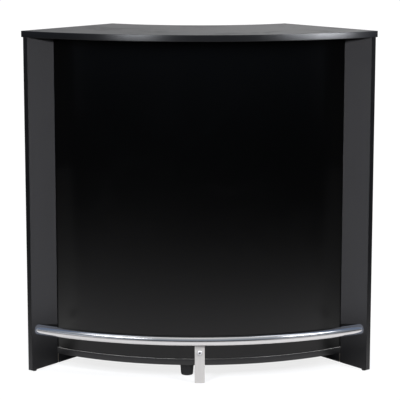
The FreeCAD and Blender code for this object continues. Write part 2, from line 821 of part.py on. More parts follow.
for length, width in (
    ("sizes.cam_slot_length", "sizes.cam_slot_width"),
    ("sizes.cam_slot_width", "sizes.cam_slot_length"),
):
    block(
        cam_disc,
        (f"-{length} / 2", f"-{width} / 2", "0"),
        (length, width, "sizes.cam_slot_depth"),
        cut=True,
    )

for word, bolts, cams, flipped_sign in (
    ("bottom", bottom_bolts, bottom_cams, -1),
    ("middle_shelf", middle_bolts, middle_cams, -1),
    ("top", top_bolts, top_cams, 1),
):
    group(f"{word}_cam_bolts", cam_bolt, [axis.whole() for axis in bolts])
    group(
        f"{word}_cam_discs",
        cam_disc,
        [axis.whole(spin=180 if axis.sign == flipped_sign else 0) for axis in cams],
    )

# Screws from below into the lower divider.

screw_head = "sizes.divider_screw_head / 2"
screw_shank = "sizes.divider_screw_diameter / 2"
divider_screw = turned(
    "divider_screw",
    [
        ("0", "0"),
        (screw_head, "0"),
        (screw_head, "sizes.divider_screw_head_height"),
        (screw_shank, "sizes.divider_screw_head_height"),
        (screw_shank, "sizes.divider_screw_length"),
        ("0", "sizes.divider_screw_length"),
    ],
)
group("divider_screws", divider_screw, [axis.whole() for axis in divider_screws])

# Glides and their nails.

glide_radius = "sizes.glide_diameter / 2"
glide_hole = "(sizes.nail_diameter + sizes.bore_play) / 2"
glide_well = "(sizes.nail_head_diameter / 2 + sizes.bore_play)"
well_top = "(sizes.nail_recess + sizes.nail_head_height - sizes.glide_height)"
glide = turned(
    "glide",
    [
        (glide_hole, "0"),
        (glide_radius, "0"),
        (glide_radius, "-sizes.glide_height"),
        (glide_well, "-sizes.glide_height"),
        (glide_well, well_top),
        (glide_hole, well_top),
    ],
)
round_edges(glide, "sizes.glide_round", on_rim(glide_radius, "-sizes.glide_height"))
nail_head = "sizes.nail_head_diameter / 2"
nail_shank = "sizes.nail_diameter / 2"
nail_low = "(sizes.nail_recess - sizes.glide_height)"
nail = turned(
    "nail",
    [
        ("0", nail_low),
        (nail_head, nail_low),
        (nail_head, well_top),
        (nail_shank, well_top),
        (nail_shank, "sizes.nail_reach"),
        ("0", "sizes.nail_reach"),
    ],
)
group("side_glides", glide, [axis.whole() for axis in nail_axes])
group("glide_nails", nail, [axis.whole() for axis in nail_axes])

# Centre foot, hung from the bottom board by one screw up its well.

foot_top = "sizes.foot_top_diameter / 2"
foot_bottom = "sizes.foot_bottom_diameter / 2"
foot_hole = "(sizes.foot_screw_diameter + sizes.bore_play) / 2"
foot_well = "sizes.foot_well_diameter / 2"
centre_foot = turned(
    "centre_foot",
    [
        (foot_hole, "0"),
        (foot_top, "0"),
        (foot_bottom, "-sizes.bottom_clearance"),
        (foot_well, "-sizes.bottom_clearance"),
        (foot_well, "-sizes.foot_web"),
        (foot_hole, "-sizes.foot_web"),
    ],
    foot_axis.whole(),
    kept=True,
)
round_edges(centre_foot, "sizes.foot_round", on_rim(foot_bottom, "-sizes.bottom_clearance"))


def pan_screw(label, head, head_height, shank, seat, tip, placement=None, kept=False):
    """A screw whose flat-topped head lies under its seat and whose shank runs up to its tip."""
    low = f"({seat} - {head_height})"
    return turned(
        label,
        [
            ("0", low),
            (f"{head} / 2", low),
            (f"{head} / 2", seat),
            (f"{shank} / 2", seat),
            (f"{shank} / 2", tip),
            ("0", tip),
        ],
        placement,
        kept,
    )


pan_screw(
    "foot_screw",
    "sizes.foot_screw_head",
    "sizes.foot_screw_head_height",
    "sizes.foot_screw_diameter",
    "-sizes.foot_web",
    "sizes.foot_screw_reach",
    foot_axis.whole(),
    kept=True,
)

# Foot rail: a bent tube with a lug welded under its middle. Its own frame has x towards the front.

rail_body = new_body("foot_rail", place("0", f"({ARC_Y} + sizes.rail_shift)", "0", spin=-90))
rail_section = new_sketch(rail_body, "foot_rail_section", "XZ_Plane")
for word, radius in (
    ("outer", "sizes.rail_diameter / 2"),
    ("inner", "(sizes.rail_diameter / 2 - sizes.rail_wall)"),
):
    centre = Vector(value_of(RAIL_RADIUS), value_of("sizes.rail_height"), 0)
    ring = rail_section.addGeometry(Part.Circle(centre, Vector(0, 0, 1), value_of(radius)))
    dimension(rail_section, "DistanceX", (ring, 3), f"{word}_x", RAIL_RADIUS)
    dimension(rail_section, "DistanceY", (ring, 3), f"{word}_y", "sizes.rail_height")
    dimension(rail_section, "Radius", (ring,), f"{word}_radius", radius)
bend = rail_body.newObject("PartDesign::Revolution", "foot_rail_bend")
bend.Profile = rail_section
bend.ReferenceAxis = (rail_section, ["V_Axis"])
bend.Midplane = True
bind(bend, Angle="2 * sizes.half_angle")
trim = "(sizes.rail_shift + 2 * sizes.rail_diameter)"
for sign in SIGNS.values():
    trimmed_end = f"({SIDE_INNER} + sizes.rail_end_play)"
    low_y = f"-{trimmed_end}" if sign > 0 else f"{trimmed_end} - {trim}"
    block(
        rail_body,
        (f"({RAIL_END} - {trim})", low_y, f"({RAIL_UNDERSIDE} - sizes.rail_diameter)"),
        (f"2 * {trim}", trim, "3 * sizes.rail_diameter"),
        cut=True,
        frame=rail_side_frame(sign),
    )
lug_face = f"({RAIL_RADIUS} - sizes.post_thickness / 2)"
lug_bottom = f"({RAIL_UNDERSIDE} - sizes.lug_length)"
block(
    rail_body,
    (f"({lug_face} - sizes.lug_thickness)", "-sizes.post_width / 2", lug_bottom),
    ("sizes.lug_thickness", "sizes.post_width", "sizes.lug_length + sizes.weld_depth"),
)
drill(
    rail_body,
    place(lug_face, "0", POST_SCREW_HEIGHT, "-x"),
    "sizes.post_screw_diameter",
    "sizes.lug_thickness",
)

# Bosses that the rail's ends slip over, screwed to the side panels.

boss_hole = "(sizes.boss_screw_diameter + sizes.bore_play) / 2"
boss_radius = "sizes.boss_diameter / 2"
boss = turned(
    "rail_end_boss",
    [
        (boss_hole, "0"),
        (boss_radius, "0"),
        (boss_radius, "sizes.boss_length"),
        (boss_hole, "sizes.boss_length"),
    ],
)
boss_screw = pan_screw(
    "rail_end_screw",
    "sizes.boss_screw_head",
    "sizes.boss_screw_head_height",
    "sizes.boss_screw_diameter",
    "-sizes.boss_length",
    "sizes.boss_screw_reach",
)
group("rail_end_bosses", boss, [axis.whole() for axis in boss_axes])
group("rail_end_screws", boss_screw, [axis.whole(flipped=True) for axis in boss_axes])

# Flat-bar post under the middle of the rail, with its screw and nut.

rail_y = f"({ARC_Y} - {RAIL_MIDDLE})"
post_front = f"({rail_y} - sizes.post_thickness / 2)"
post = new_body("rail_post")
block(
    post,
    ("-sizes.post_width / 2", post_front, "0"),
    ("sizes.post_width", "sizes.post_thickness", f"{RAIL_UNDERSIDE} - sizes.post_top_play"),
)
round_edges(
    post,
    "sizes.post_corner_round",
    lambda ends: on_plane("z", "0")(ends) and abs(ends[0].y - ends[-1].y) > value_of("sizes.post_round"),
)
for plane in (post_front, f"({post_front} + sizes.post_thickness)"):
    round_edges(post, "sizes.post_round", on_plane("y", plane))
screw_axis = Axis("0", post_front, POST_SCREW_HEIGHT, "+y")
drill(post, screw_axis.whole(), "sizes.post_screw_diameter", "sizes.post_thickness")

nut_seat = "(sizes.post_thickness + sizes.lug_thickness)"
post_screw = pan_screw(
    "post_screw",
    "sizes.post_screw_head",
    "sizes.post_screw_head_height",
    "sizes.post_screw_diameter",
    "0",
    f"({nut_seat} + sizes.nut_height + sizes.post_screw_tail)",
    screw_axis.whole(),
    kept=True,
)
round_edges(
    post_screw,
    "sizes.post_screw_head_round",
    on_rim("sizes.post_screw_head / 2", "-sizes.post_screw_head_height"),
)
socket = post_screw.newObject("PartDesign::SubtractivePrism", "post_screw_socket")
socket.Polygon = 6
bind(
    socket,
    Circumradius="sizes.post_screw_socket / sqrt(3)",
    Height="sizes.post_screw_socket_depth",
    Placement=place("0", "0", "-sizes.post_screw_head_height"),
)
nut = new_body("post_nut", screw_axis.whole())
nut_block = nut.newObject("PartDesign::AdditivePrism", "post_nut_block")
nut_block.Polygon = 6
bind(
    nut_block,
    Circumradius="sizes.nut_width / sqrt(3)",
    Height="sizes.nut_height",
    Placement=place("0", "0", nut_seat),
)
drill(nut, place("0", "0", nut_seat), "sizes.post_screw_diameter", "sizes.nut_height")

# Every feature has to be sound, and every cut has to take something away, before anything is written.

doc.recompute()
for item in doc.Objects:
    if "Invalid" in item.State or "Error" in item.State:
        raise RuntimeError(f"{item.Label} failed: {item.State}")
    cutting = item.TypeId.startswith("PartDesign::Subtractive") or item.TypeId == "PartDesign::Pocket"
    if cutting and item.Shape.Volume > item.BaseFeature.Shape.Volume - 1e-3:
        raise RuntimeError(f"{item.Label} cuts nothing")
for piece in pieces:
    if piece.Shape.isNull() or not piece.Shape.isValid():
        raise RuntimeError(f"{piece.Label} has no sound shape")

os.makedirs("parts", exist_ok=True)
for piece in pieces:
    piece.Shape.exportStep(os.path.join("parts", f"{piece.Label}.step"))
    print(f"{piece.Label}: {len(piece.Shape.Solids)} solid(s), {piece.Shape.Volume / 1000:.1f} cm3")
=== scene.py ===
import json
import math

import bmesh
import bpy
import numpy as np
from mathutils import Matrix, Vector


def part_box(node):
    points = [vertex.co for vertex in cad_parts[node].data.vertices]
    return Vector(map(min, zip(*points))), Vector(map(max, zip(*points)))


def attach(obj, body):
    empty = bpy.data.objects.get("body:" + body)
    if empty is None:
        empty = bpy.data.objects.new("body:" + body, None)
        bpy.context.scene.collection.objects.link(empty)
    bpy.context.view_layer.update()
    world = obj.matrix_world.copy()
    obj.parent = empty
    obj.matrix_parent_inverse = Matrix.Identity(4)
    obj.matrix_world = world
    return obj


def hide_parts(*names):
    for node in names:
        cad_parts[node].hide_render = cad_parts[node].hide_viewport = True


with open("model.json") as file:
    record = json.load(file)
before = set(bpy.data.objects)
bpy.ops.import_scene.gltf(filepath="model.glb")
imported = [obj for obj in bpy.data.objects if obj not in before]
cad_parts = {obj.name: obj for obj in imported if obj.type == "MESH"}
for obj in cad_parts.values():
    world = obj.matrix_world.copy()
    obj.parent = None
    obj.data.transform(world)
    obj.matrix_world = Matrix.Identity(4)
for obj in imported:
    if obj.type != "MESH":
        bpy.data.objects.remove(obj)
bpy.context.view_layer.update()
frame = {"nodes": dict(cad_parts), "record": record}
nodes = frame["nodes"]
slotOf = {part["node"]: part["material_slot"] for part in frame["record"]["subparts"]}
scene = bpy.context.scene
scene.view_settings.view_transform = "Standard"
print("frame:", len(nodes), "nodes")

# Metres. Every curved board is cut from one ring, whose upright axis stands at (0, axisY)
ring = {"halfAngle": math.radians(37.5), "topOuter": 0.875, "topInner": 0.45}
endSine, endCosine = math.sin(ring["halfAngle"]), math.cos(ring["halfAngle"])
axisY = (ring["topOuter"] + ring["topInner"] * endCosine) / 2


# Shader helpers

def addNode(tree, kind, links=None, **settings):
    node = tree.nodes.new("ShaderNode" + kind)
    for key, value in settings.items():
        setattr(node, key, value)
    for socket, value in (links or {}).items():
        feed(tree, node, socket, value)
    return node


def feed(tree, node, socket, value):
    if isinstance(value, bpy.types.NodeSocket):
        tree.links.new(value, node.inputs[socket])
    else:
        node.inputs[socket].default_value = value


def calc(tree, operation, *values):
    return addNode(tree, "Math", dict(enumerate(values)), operation=operation).outputs[0]


def calcVector(tree, operation, *values):
    node = addNode(tree, "VectorMath", dict(enumerate(values)), operation=operation)
    return node.outputs["Value" if operation in ("DOT_PRODUCT", "LENGTH") else "Vector"]


def mapRange(tree, value, low, high, newLow, newHigh, curve="LINEAR"):
    sockets = {"Value": value, "From Min": low, "From Max": high, "To Min": newLow, "To Max": newHigh}
    return addNode(tree, "MapRange", sockets, interpolation_type=curve).outputs["Result"]


def between(tree, value, limits, curve="LINEAR"):
    # 0 below the first limit, 1 above the second
    return mapRange(tree, value, *limits, 0.0, 1.0, curve)


def mixColour(tree, factor, first, second):
    # the numbers are the Mix node's own sockets for colours; a factor above one counts as one
    node = addNode(tree, "Mix", data_type="RGBA")
    for socket, value in ((0, factor), (6, first), (7, second)):
        feed(tree, node, socket, value)
    return node.outputs[2]


def tint(colour, strength=1.0):
    return tuple(channel * strength for channel in colour) + (1.0,)


def noise(tree, vector, scale, detail=2.0, roughness=0.5, distortion=0.0):
    sockets = {
        "Vector": vector, "Scale": scale, "Detail": detail, "Roughness": roughness, "Distortion": distortion,
    }
    return addNode(tree, "TexNoise", sockets).outputs["Fac"]


def bump(tree, height, distance, under=None):
    node = addNode(tree, "Bump", {"Height": height, "Distance": distance})
    if under is not None:
        feed(tree, node, "Normal", under)
    return node.outputs[0]


def newGroup(name, inputs, outputs):
    tree = bpy.data.node_groups.new(name, "ShaderNodeTree")
    for label, kind in inputs.items():
        tree.interface.new_socket(label, in_out="INPUT", socket_type="NodeSocket" + kind)
    for label, kind in outputs.items():
        tree.interface.new_socket(label, in_out="OUTPUT", socket_type="NodeSocket" + kind)
    return tree, tree.nodes.new("NodeGroupInput").outputs, tree.nodes.new("NodeGroupOutput")


def useGroup(tree, group, **links):
    node = tree.nodes.new("ShaderNodeGroup")
    node.node_tree = group
    for socket, value in links.items():
        feed(tree, node, socket, value)
    return node.outputs


# Shared effects

grainParts = {
    "fine": {"detail": 2.0, "roughness": 0.6}, "fineShare": 0.6, "cellScale": 0.55, "cellShare": 0.4,
    "driftScale": 0.008, "driftDetail": 3.0,
}


def makeFineGrain():
    # pressed pearl of a board or moulding: fine noise over small soft cells;
    # the shade swings about one by the spread, with the fine noise and a slow drift
    tree, given, made = newGroup(
        "fineGrain",
        {"Vector": "Vector", "Scale": "Float", "Spread": "Float"},
        {"Shade": "Float", "Height": "Float"},
    )
    fine = noise(tree, given["Vector"], given["Scale"], **grainParts["fine"])
    cellScale = calc(tree, "MULTIPLY", given["Scale"], grainParts["cellScale"])
    cells = addNode(tree, "TexVoronoi", {"Vector": given["Vector"], "Scale": cellScale}, feature="SMOOTH_F1")
    driftScale = calc(tree, "MULTIPLY", given["Scale"], grainParts["driftScale"])
    drift = noise(tree, given["Vector"], driftScale, grainParts["driftDetail"])
    height = calc(tree, "MULTIPLY", cells.outputs["Distance"], grainParts["cellShare"])
    height = calc(tree, "MULTIPLY_ADD", fine, grainParts["fineShare"], height)
    swing = calc(tree, "SUBTRACT", calc(tree, "ADD", drift, fine), 1.0)
    feed(tree, made, "Height", height)
    feed(tree, made, "Shade", calc(tree, "MULTIPLY_ADD", swing, given["Spread"], 1.0))
    return tree


hairParts = {
    "fine": {"detail": 3.0, "roughness": 0.7}, "fineShare": 0.6,
    "wideScale": (0.21, 0.21, 0.21), "wideShift": (3.7, 1.9, 5.3), "wideShare": 0.4,
}


def makeHairLines():
    # drawn or brushed lines: a fine and a wide noise, both longest where the stretch is smallest
    tree, given, made = newGroup("hairLines", {"Vector": "Vector", "Stretch": "Vector"}, {"Lines": "Float"})
    fine = calcVector(tree, "MULTIPLY", given["Vector"], given["Stretch"])
    wide = calcVector(tree, "MULTIPLY_ADD", fine, hairParts["wideScale"], hairParts["wideShift"])
    lines = calc(tree, "MULTIPLY", noise(tree, fine, 1.0, **hairParts["fine"]), hairParts["fineShare"])
    lines = calc(tree, "MULTIPLY_ADD", noise(tree, wide, 1.0), hairParts["wideShare"], lines)
    feed(tree, made, "Lines", lines)
    return tree


smudgeParts = {"patches": {"detail": 4.0, "roughness": 0.62, "distortion": 0.7}, "limits": (0.46, 0.74)}


def makeSmudges():
    # faint hand marks: patches of a warped noise
    tree, given, made = newGroup("smudges", {"Vector": "Vector", "Scale": "Float"}, {"Film": "Float"})
    patches = noise(tree, given["Vector"], given["Scale"], **smudgeParts["patches"])
    feed(tree, made, "Film", between(tree, patches, smudgeParts["limits"], "SMOOTHSTEP"))
    return tree


dustParts = {
    "upward": (0.6, 0.97), "filmScale": 7.0, "film": {"detail": 4.0, "roughness": 0.65}, "filmShare": 0.4,
    "speckScale": 1100.0, "speckDetail": 1.0, "specks": (0.66, 0.74), "speckShare": 0.6,
}


def makeDustFilm():
    # dust that lies on faces which look up: a thin uneven film with specks
    tree, given, made = newGroup("dustFilm", {"Vector": "Vector"}, {"Dust": "Float"})
    normal = addNode(tree, "NewGeometry").outputs["Normal"]
    upward = between(tree, addNode(tree, "SeparateXYZ", {0: normal}).outputs["Z"], dustParts["upward"])
    film = noise(tree, given["Vector"], dustParts["filmScale"], **dustParts["film"])
    film = calc(tree, "MULTIPLY", film, dustParts["filmShare"])
    specks = noise(tree, given["Vector"], dustParts["speckScale"], dustParts["speckDetail"])
    specks = between(tree, specks, dustParts["specks"])
    dust = calc(tree, "MULTIPLY_ADD", specks, dustParts["speckShare"], film)
    feed(tree, made, "Dust", calc(tree, "MULTIPLY", dust, upward))
    return tree


wearParts = {
    "samples": 4, "apart": (0.02, 0.25), "patches": {"detail": 4.0, "roughness": 0.7}, "broken": (0.42, 0.66),
}


def makeEdgeWear():
    # rubbed edges: where a rounded normal leaves the true one, broken up by noise
    tree, given, made = newGroup(
        "edgeWear", {"Vector": "Vector", "Width": "Float", "Scale": "Float"}, {"Wear": "Float"}
    )
    normal = addNode(tree, "NewGeometry").outputs["Normal"]
    rounded = addNode(tree, "Bevel", {"Radius": given["Width"]}, samples=wearParts["samples"])
    agree = calcVector(tree, "DOT_PRODUCT", normal, rounded.outputs["Normal"])
    apart = calc(tree, "SUBTRACT", 1.0, agree)
    patches = noise(tree, given["Vector"], given["Scale"], **wearParts["patches"])
    edge = between(tree, apart, wearParts["apart"])
    feed(tree, made, "Wear", calc(tree, "MULTIPLY", edge, between(tree, patches, wearParts["broken"])))
    return tree


# lip is the near-white colour of the bottom board's lip: bare board plus a painted highlight
coreParts = {
    "depth": (0.00012, 0.0002), "chipScale": 430.0, "chipShare": 0.5,
    "fibreScale": 160.0, "fibreDetail": 3.0, "fibreShare": 0.6,
    "dark": (0.2, 0.168, 0.13), "pale": (0.56, 0.5, 0.42), "lip": (0.95, 0.92, 0.86),
}


def makeBoardCore():
    # raw chipboard wherever a cut goes below a board's two faces, and beyond a radius from the ring's axis a
    # near-white lip:
    # the bare board's edge, made paler than its chips as a painted highlight
    tree, given, made = newGroup(
        "boardCore",
        {"Vector": "Vector", "Across": "Vector", "Middle": "Float", "Half": "Float", "Lip": "Float"},
        {"Core": "Float", "Chips": "Color", "Height": "Float"},
    )
    place = calcVector(tree, "DOT_PRODUCT", given["Vector"], given["Across"])
    offset = calc(tree, "ABSOLUTE", calc(tree, "SUBTRACT", place, given["Middle"]))
    below = between(tree, calc(tree, "SUBTRACT", given["Half"], offset), coreParts["depth"])
    fromAxis = calcVector(tree, "SUBTRACT", given["Vector"], (0.0, axisY, 0.0))
    radius = calcVector(tree, "LENGTH", calcVector(tree, "MULTIPLY", fromAxis, (1.0, 1.0, 0.0)))
    beyond = calc(tree, "GREATER_THAN", radius, given["Lip"])
    cells = addNode(tree, "TexVoronoi", {"Vector": given["Vector"], "Scale": coreParts["chipScale"]})
    tone = addNode(tree, "SeparateColor", {0: cells.outputs["Color"]}).outputs[0]
    tone = calc(tree, "MULTIPLY", tone, coreParts["chipShare"])
    fibres = noise(tree, given["Vector"], coreParts["fibreScale"], coreParts["fibreDetail"])
    tone = calc(tree, "MULTIPLY_ADD", fibres, coreParts["fibreShare"], tone)
    chips = mixColour(tree, tone, tint(coreParts["dark"]), tint(coreParts["pale"]))
    feed(tree, made, "Core", calc(tree, "MAXIMUM", below, beyond))
    # the lip's near-white colour is bare board plus a painted highlight
    feed(tree, made, "Chips", mixColour(tree, beyond, chips, tint(coreParts["lip"])))
    feed(tree, made, "Height", calc(tree, "ADD", cells.outputs["Distance"], tone))
    return tree


def makeRingCoords():
    # place along a curved board: arc length, distance from the axis, height
    tree, given, made = newGroup("ringCoords", {"Vector": "Vector"}, {"Along": "Vector"})
    place = addNode(tree, "SeparateXYZ", {0: given["Vector"]}).outputs
    front = calc(tree, "SUBTRACT", axisY, place["Y"])
    radius = calcVector(tree, "LENGTH", addNode(tree, "CombineXYZ", {0: place["X"], 1: front}).outputs[0])
    arc = calc(tree, "MULTIPLY", calc(tree, "ARCTAN2", place["X"], front), ring["topOuter"])
    feed(tree, made, "Along", addNode(tree, "CombineXYZ", {0: arc, 1: radius, 2: place["Z"]}).outputs[0])
    return tree


fineGrain = makeFineGrain()
hairLines = makeHairLines()
smudges = makeSmudges()
dustFilm = makeDustFilm()
edgeWear = makeEdgeWear()
boardCore = makeBoardCore()
ringCoords = makeRingCoords()
print("effects:", len(bpy.data.node_groups), "node groups")


# Finishes

def newFinish(name, **fixed):
    material = bpy.data.materials.new(name)
    material.use_nodes = True
    tree = material.node_tree
    tree.nodes.clear()
    constants = {socket.replace("_", " "): value for socket, value in fixed.items()}
    shader = addNode(tree, "BsdfPrincipled", constants)
    tree.links.new(shader.outputs[0], addNode(tree, "OutputMaterial").inputs["Surface"])
    where = addNode(tree, "TexCoord").outputs["Object"]
    return material, tree, shader, where


def handled(tree, where, finish, roughness):
    # hand marks make a surface a little rougher
    film = useGroup(tree, smudges, Vector=where, Scale=finish["handScale"])["Film"]
    return calc(tree, "MULTIPLY_ADD", film, finish["handRoughness"], roughness)


def rubbed(tree, where, finish, colour):
    # rubbed edges take on the worn colour
    edges = useGroup(tree, edgeWear, Vector=where, Width=finish["wearWidth"], Scale=finish["wearScale"])
    worn = calc(tree, "MULTIPLY", edges["Wear"], finish["wearShare"])
    return mixColour(tree, worn, colour, tint(finish["wornColour"]))


def swung(tree, factor, finish, colour):
    # a colour that swings between two strengths
    weak, strong = finish["swing"]
    return mixColour(tree, factor, tint(colour, weak), tint(colour, strong))


laminate = {
    "colour": (0.0408, 0.0396, 0.0398), "swing": (0.0, 1.0), "specular": 0.18, "roughness": 0.4,
    "grainScale": 1400.0, "grainSpread": 0.25, "grainHeight": 0.00003,
    "handScale": 9.0, "handRoughness": 0.07,
    "dustColour": (0.2, 0.19, 0.18), "dustShare": 0.05, "dustRoughness": 0.08,
    "coreRoughness": 0.9, "chipHeight": 0.0003, "noLip": 10.0,
}


def laminateFinish(name, across, middle, half, lip=laminate["noLip"]):
    # melamine-faced chipboard; across, middle and half place the board's two faces
    material, tree, shader, where = newFinish(name, Specular_IOR_Level=laminate["specular"])
    grain = useGroup(
        tree, fineGrain, Vector=where, Scale=laminate["grainScale"], Spread=laminate["grainSpread"]
    )
    core = useGroup(tree, boardCore, Vector=where, Across=across, Middle=middle, Half=half, Lip=lip)
    dust = useGroup(tree, dustFilm, Vector=where)["Dust"]
    black = swung(tree, grain["Shade"], laminate, laminate["colour"])
    dustShare = calc(tree, "MULTIPLY", dust, laminate["dustShare"])
    dusty = mixColour(tree, dustShare, black, tint(laminate["dustColour"]))
    feed(tree, shader, "Base Color", mixColour(tree, core["Core"], dusty, core["Chips"]))
    rough = handled(tree, where, laminate, laminate["roughness"])
    rough = calc(tree, "MULTIPLY_ADD", dust, laminate["dustRoughness"], rough)
    rawRough = calc(tree, "MULTIPLY", core["Core"], laminate["coreRoughness"])
    feed(tree, shader, "Roughness", calc(tree, "MAXIMUM", rough, rawRough))
    pearl = bump(tree, grain["Height"], laminate["grainHeight"])
    rawHeight = calc(tree, "MULTIPLY", core["Height"], core["Core"])
    feed(tree, shader, "Normal", bump(tree, rawHeight, laminate["chipHeight"], pearl))
    return material


sheet = {
    "colour": (0.0006, 0.0006, 0.0006), "swing": (0.0, 1.0), "specular": 0.42, "roughness": 0.3,
    "peelScale": 160.0, "peelSpread": 0.3, "peelHeight": 0.0000015, "handScale": 6.0, "handRoughness": 0.03,
}


def sheetFinish():
    # black lacquered hardboard: deep gloss with a trace of orange peel and hand marks
    material, tree, shader, where = newFinish("blackSheet", Specular_IOR_Level=sheet["specular"])
    grain = useGroup(tree, fineGrain, Vector=where, Scale=sheet["peelScale"], Spread=sheet["peelSpread"])
    feed(tree, shader, "Base Color", swung(tree, grain["Shade"], sheet, sheet["colour"]))
    feed(tree, shader, "Roughness", handled(tree, where, sheet, sheet["roughness"]))
    feed(tree, shader, "Normal", bump(tree, grain["Height"], sheet["peelHeight"]))
    return material


edgeBand = {
    "colour": (0.004, 0.004, 0.0044), "swing": (0.7, 1.3), "lineHeight": 0.000012,
    "level": (5.0, 2600.0, 2600.0), "upright": (2600.0, 2600.0, 5.0),
    "wornColour": (0.05, 0.05, 0.05), "wearWidth": 0.0008, "wearScale": 220.0, "wearShare": 0.5,
    "handScale": 14.0, "handRoughness": 0.05,
}
edgeBands = {
    "gloss_edge": {
        "name": "glossEdge", "run": "level", "roughness": 0.36, "specular": 0.5, "anisotropic": 0.9,
    },
    "satin_edge": {"name": "satinEdge", "run": "level", "roughness": 0.3, "specular": 0.66},
    "upright_edge": {"name": "uprightEdge", "run": "upright", "roughness": 0.3, "specular": 0.5},
}


def edgeBandFinish(name, run, roughness, specular, anisotropic=0.0):
    # drawn plastic strip: fine lines along its length, which on gloss spread the highlights up and down
    material, tree, shader, where = newFinish(name, Anisotropic=anisotropic, Specular_IOR_Level=specular)
    along = useGroup(tree, ringCoords, Vector=where)["Along"]
    lines = useGroup(tree, hairLines, Vector=along, Stretch=edgeBand[run])["Lines"]
    black = swung(tree, lines, edgeBand, edgeBand["colour"])
    feed(tree, shader, "Base Color", rubbed(tree, where, edgeBand, black))
    feed(tree, shader, "Roughness", handled(tree, where, edgeBand, roughness))
    feed(tree, shader, "Normal", bump(tree, lines, edgeBand["lineHeight"]))
    if anisotropic:
        feed(tree, shader, "Tangent", addNode(tree, "CombineXYZ", {2: 1.0}).outputs[0])
    return material


chrome = {
    "colour": (0.77, 0.765, 0.76), "swing": (0.93, 1.05), "roughness": 0.055,
    "stretch": (9.0, 1500.0, 1500.0), "lineRoughness": 0.05, "lineHeight": 0.0000012,
    "handScale": 16.0, "handRoughness": 0.09,
}


def chromeFinish():
    # bright plating over a drawn tube: faint polishing lines along it and hand marks
    material, tree, shader, where = newFinish("chromePlate", Metallic=1.0)
    along = useGroup(tree, ringCoords, Vector=where)["Along"]
    lines = useGroup(tree, hairLines, Vector=along, Stretch=chrome["stretch"])["Lines"]
    feed(tree, shader, "Base Color", swung(tree, lines, chrome, chrome["colour"]))
    rough = handled(tree, where, chrome, chrome["roughness"])
    feed(tree, shader, "Roughness", calc(tree, "MULTIPLY_ADD", lines, chrome["lineRoughness"], rough))
    feed(tree, shader, "Normal", bump(tree, lines, chrome["lineHeight"]))
    return material


metal = {
    "swing": (0.82, 1.12), "lineShare": 0.5, "shift": -0.75,
    "grainScale": 500.0, "plainBump": 0.1, "castBump": 0.8,
    "wornColour": (0.82, 0.82, 0.82), "wearWidth": 0.0006, "wearScale": 300.0, "wearShare": 0.5,
    "handScale": 40.0, "handRoughness": 0.08,
}
metals = {
    "satin_steel": {
        "name": "satinSteel", "colour": (0.665, 0.637, 0.6), "metallic": 0.4, "roughness": 0.5,
        "stretch": (700.0, 700.0, 90.0), "lineHeight": 0.00003, "spread": 0.6, "castScale": 900.0,
    },
    "zinc_steel": {
        "name": "platedZinc", "colour": (0.8, 0.79, 0.78), "metallic": 0.5, "roughness": 0.36,
        "stretch": (500.0, 500.0, 500.0), "lineHeight": 0.00002, "spread": 0.3,
    },
    "zinc_alloy": {
        "name": "castAlloy", "colour": (0.47, 0.47, 0.49), "metallic": 1.0, "roughness": 0.48,
        "stretch": (300.0, 300.0, 300.0), "lineHeight": 0.00006, "spread": 0.2, "castScale": 1500.0,
    },
    "nickel": {
        "name": "nickelPlate", "colour": (0.62, 0.59, 0.54), "metallic": 1.0, "roughness": 0.2,
        "stretch": (900.0, 900.0, 900.0), "lineHeight": 0.000006, "spread": 0.12,
    },
}


def metalFinish(name, colour, metallic, roughness, stretch, lineHeight, spread, castScale=None):
    # plated, brushed or cast metal: lines, a drift of the tone, brighter rubbed edges
    material, tree, shader, where = newFinish(name, Metallic=metallic)
    lines = useGroup(tree, hairLines, Vector=where, Stretch=stretch)["Lines"]
    grain = useGroup(tree, fineGrain, Vector=where, Scale=castScale or metal["grainScale"], Spread=spread)
    drift = calc(tree, "ADD", grain["Shade"], metal["shift"])
    tone = swung(tree, calc(tree, "MULTIPLY_ADD", lines, metal["lineShare"], drift), metal, colour)
    feed(tree, shader, "Base Color", rubbed(tree, where, metal, tone))
    feed(tree, shader, "Roughness", handled(tree, where, metal, roughness))
    grainBump = metal["castBump"] if castScale else metal["plainBump"]
    height = calc(tree, "MULTIPLY_ADD", grain["Height"], grainBump, lines)
    feed(tree, shader, "Normal", bump(tree, height, lineHeight))
    return material


plastic = {
    "colour": (0.024, 0.024, 0.0245), "swing": (0.0, 1.0), "specular": 0.3, "roughness": 0.46,
    "sparkScale": 1700.0, "sparkSpread": 0.3, "sparkHeight": 0.00004,
    "wornColour": (0.09, 0.09, 0.09), "wearWidth": 0.0012, "wearScale": 260.0, "wearShare": 0.6,
    "handScale": 30.0, "handRoughness": 0.1,
}


def plasticFinish():
    # moulded black plastic with a spark-eroded skin, scuffed at its edges
    material, tree, shader, where = newFinish("mouldedPlastic", Specular_IOR_Level=plastic["specular"])
    grain = useGroup(
        tree, fineGrain, Vector=where, Scale=plastic["sparkScale"], Spread=plastic["sparkSpread"]
    )
    black = swung(tree, grain["Shade"], plastic, plastic["colour"])
    feed(tree, shader, "Base Color", rubbed(tree, where, plastic, black))
    feed(tree, shader, "Roughness", handled(tree, where, plastic, plastic["roughness"]))
    feed(tree, shader, "Normal", bump(tree, grain["Height"], plastic["sparkHeight"]))
    return material


beech = {
    "light": (0.66, 0.46, 0.28), "dark": (0.43, 0.27, 0.15), "stretch": (260.0, 260.0, 260.0),
    "specular": 0.35, "roughness": 0.5, "fleckRoughness": 0.2, "fleckHeight": 0.0001,
}


def beechFinish():
    # turned beech: flecked grain
    material, tree, shader, where = newFinish("turnedBeech", Specular_IOR_Level=beech["specular"])
    flecks = useGroup(tree, hairLines, Vector=where, Stretch=beech["stretch"])["Lines"]
    feed(tree, shader, "Base Color", mixColour(tree, flecks, tint(beech["dark"]), tint(beech["light"])))
    rough = calc(tree, "MULTIPLY_ADD", flecks, beech["fleckRoughness"], beech["roughness"])
    feed(tree, shader, "Roughness", rough)
    feed(tree, shader, "Normal", bump(tree, flecks, beech["fleckHeight"]))
    return material


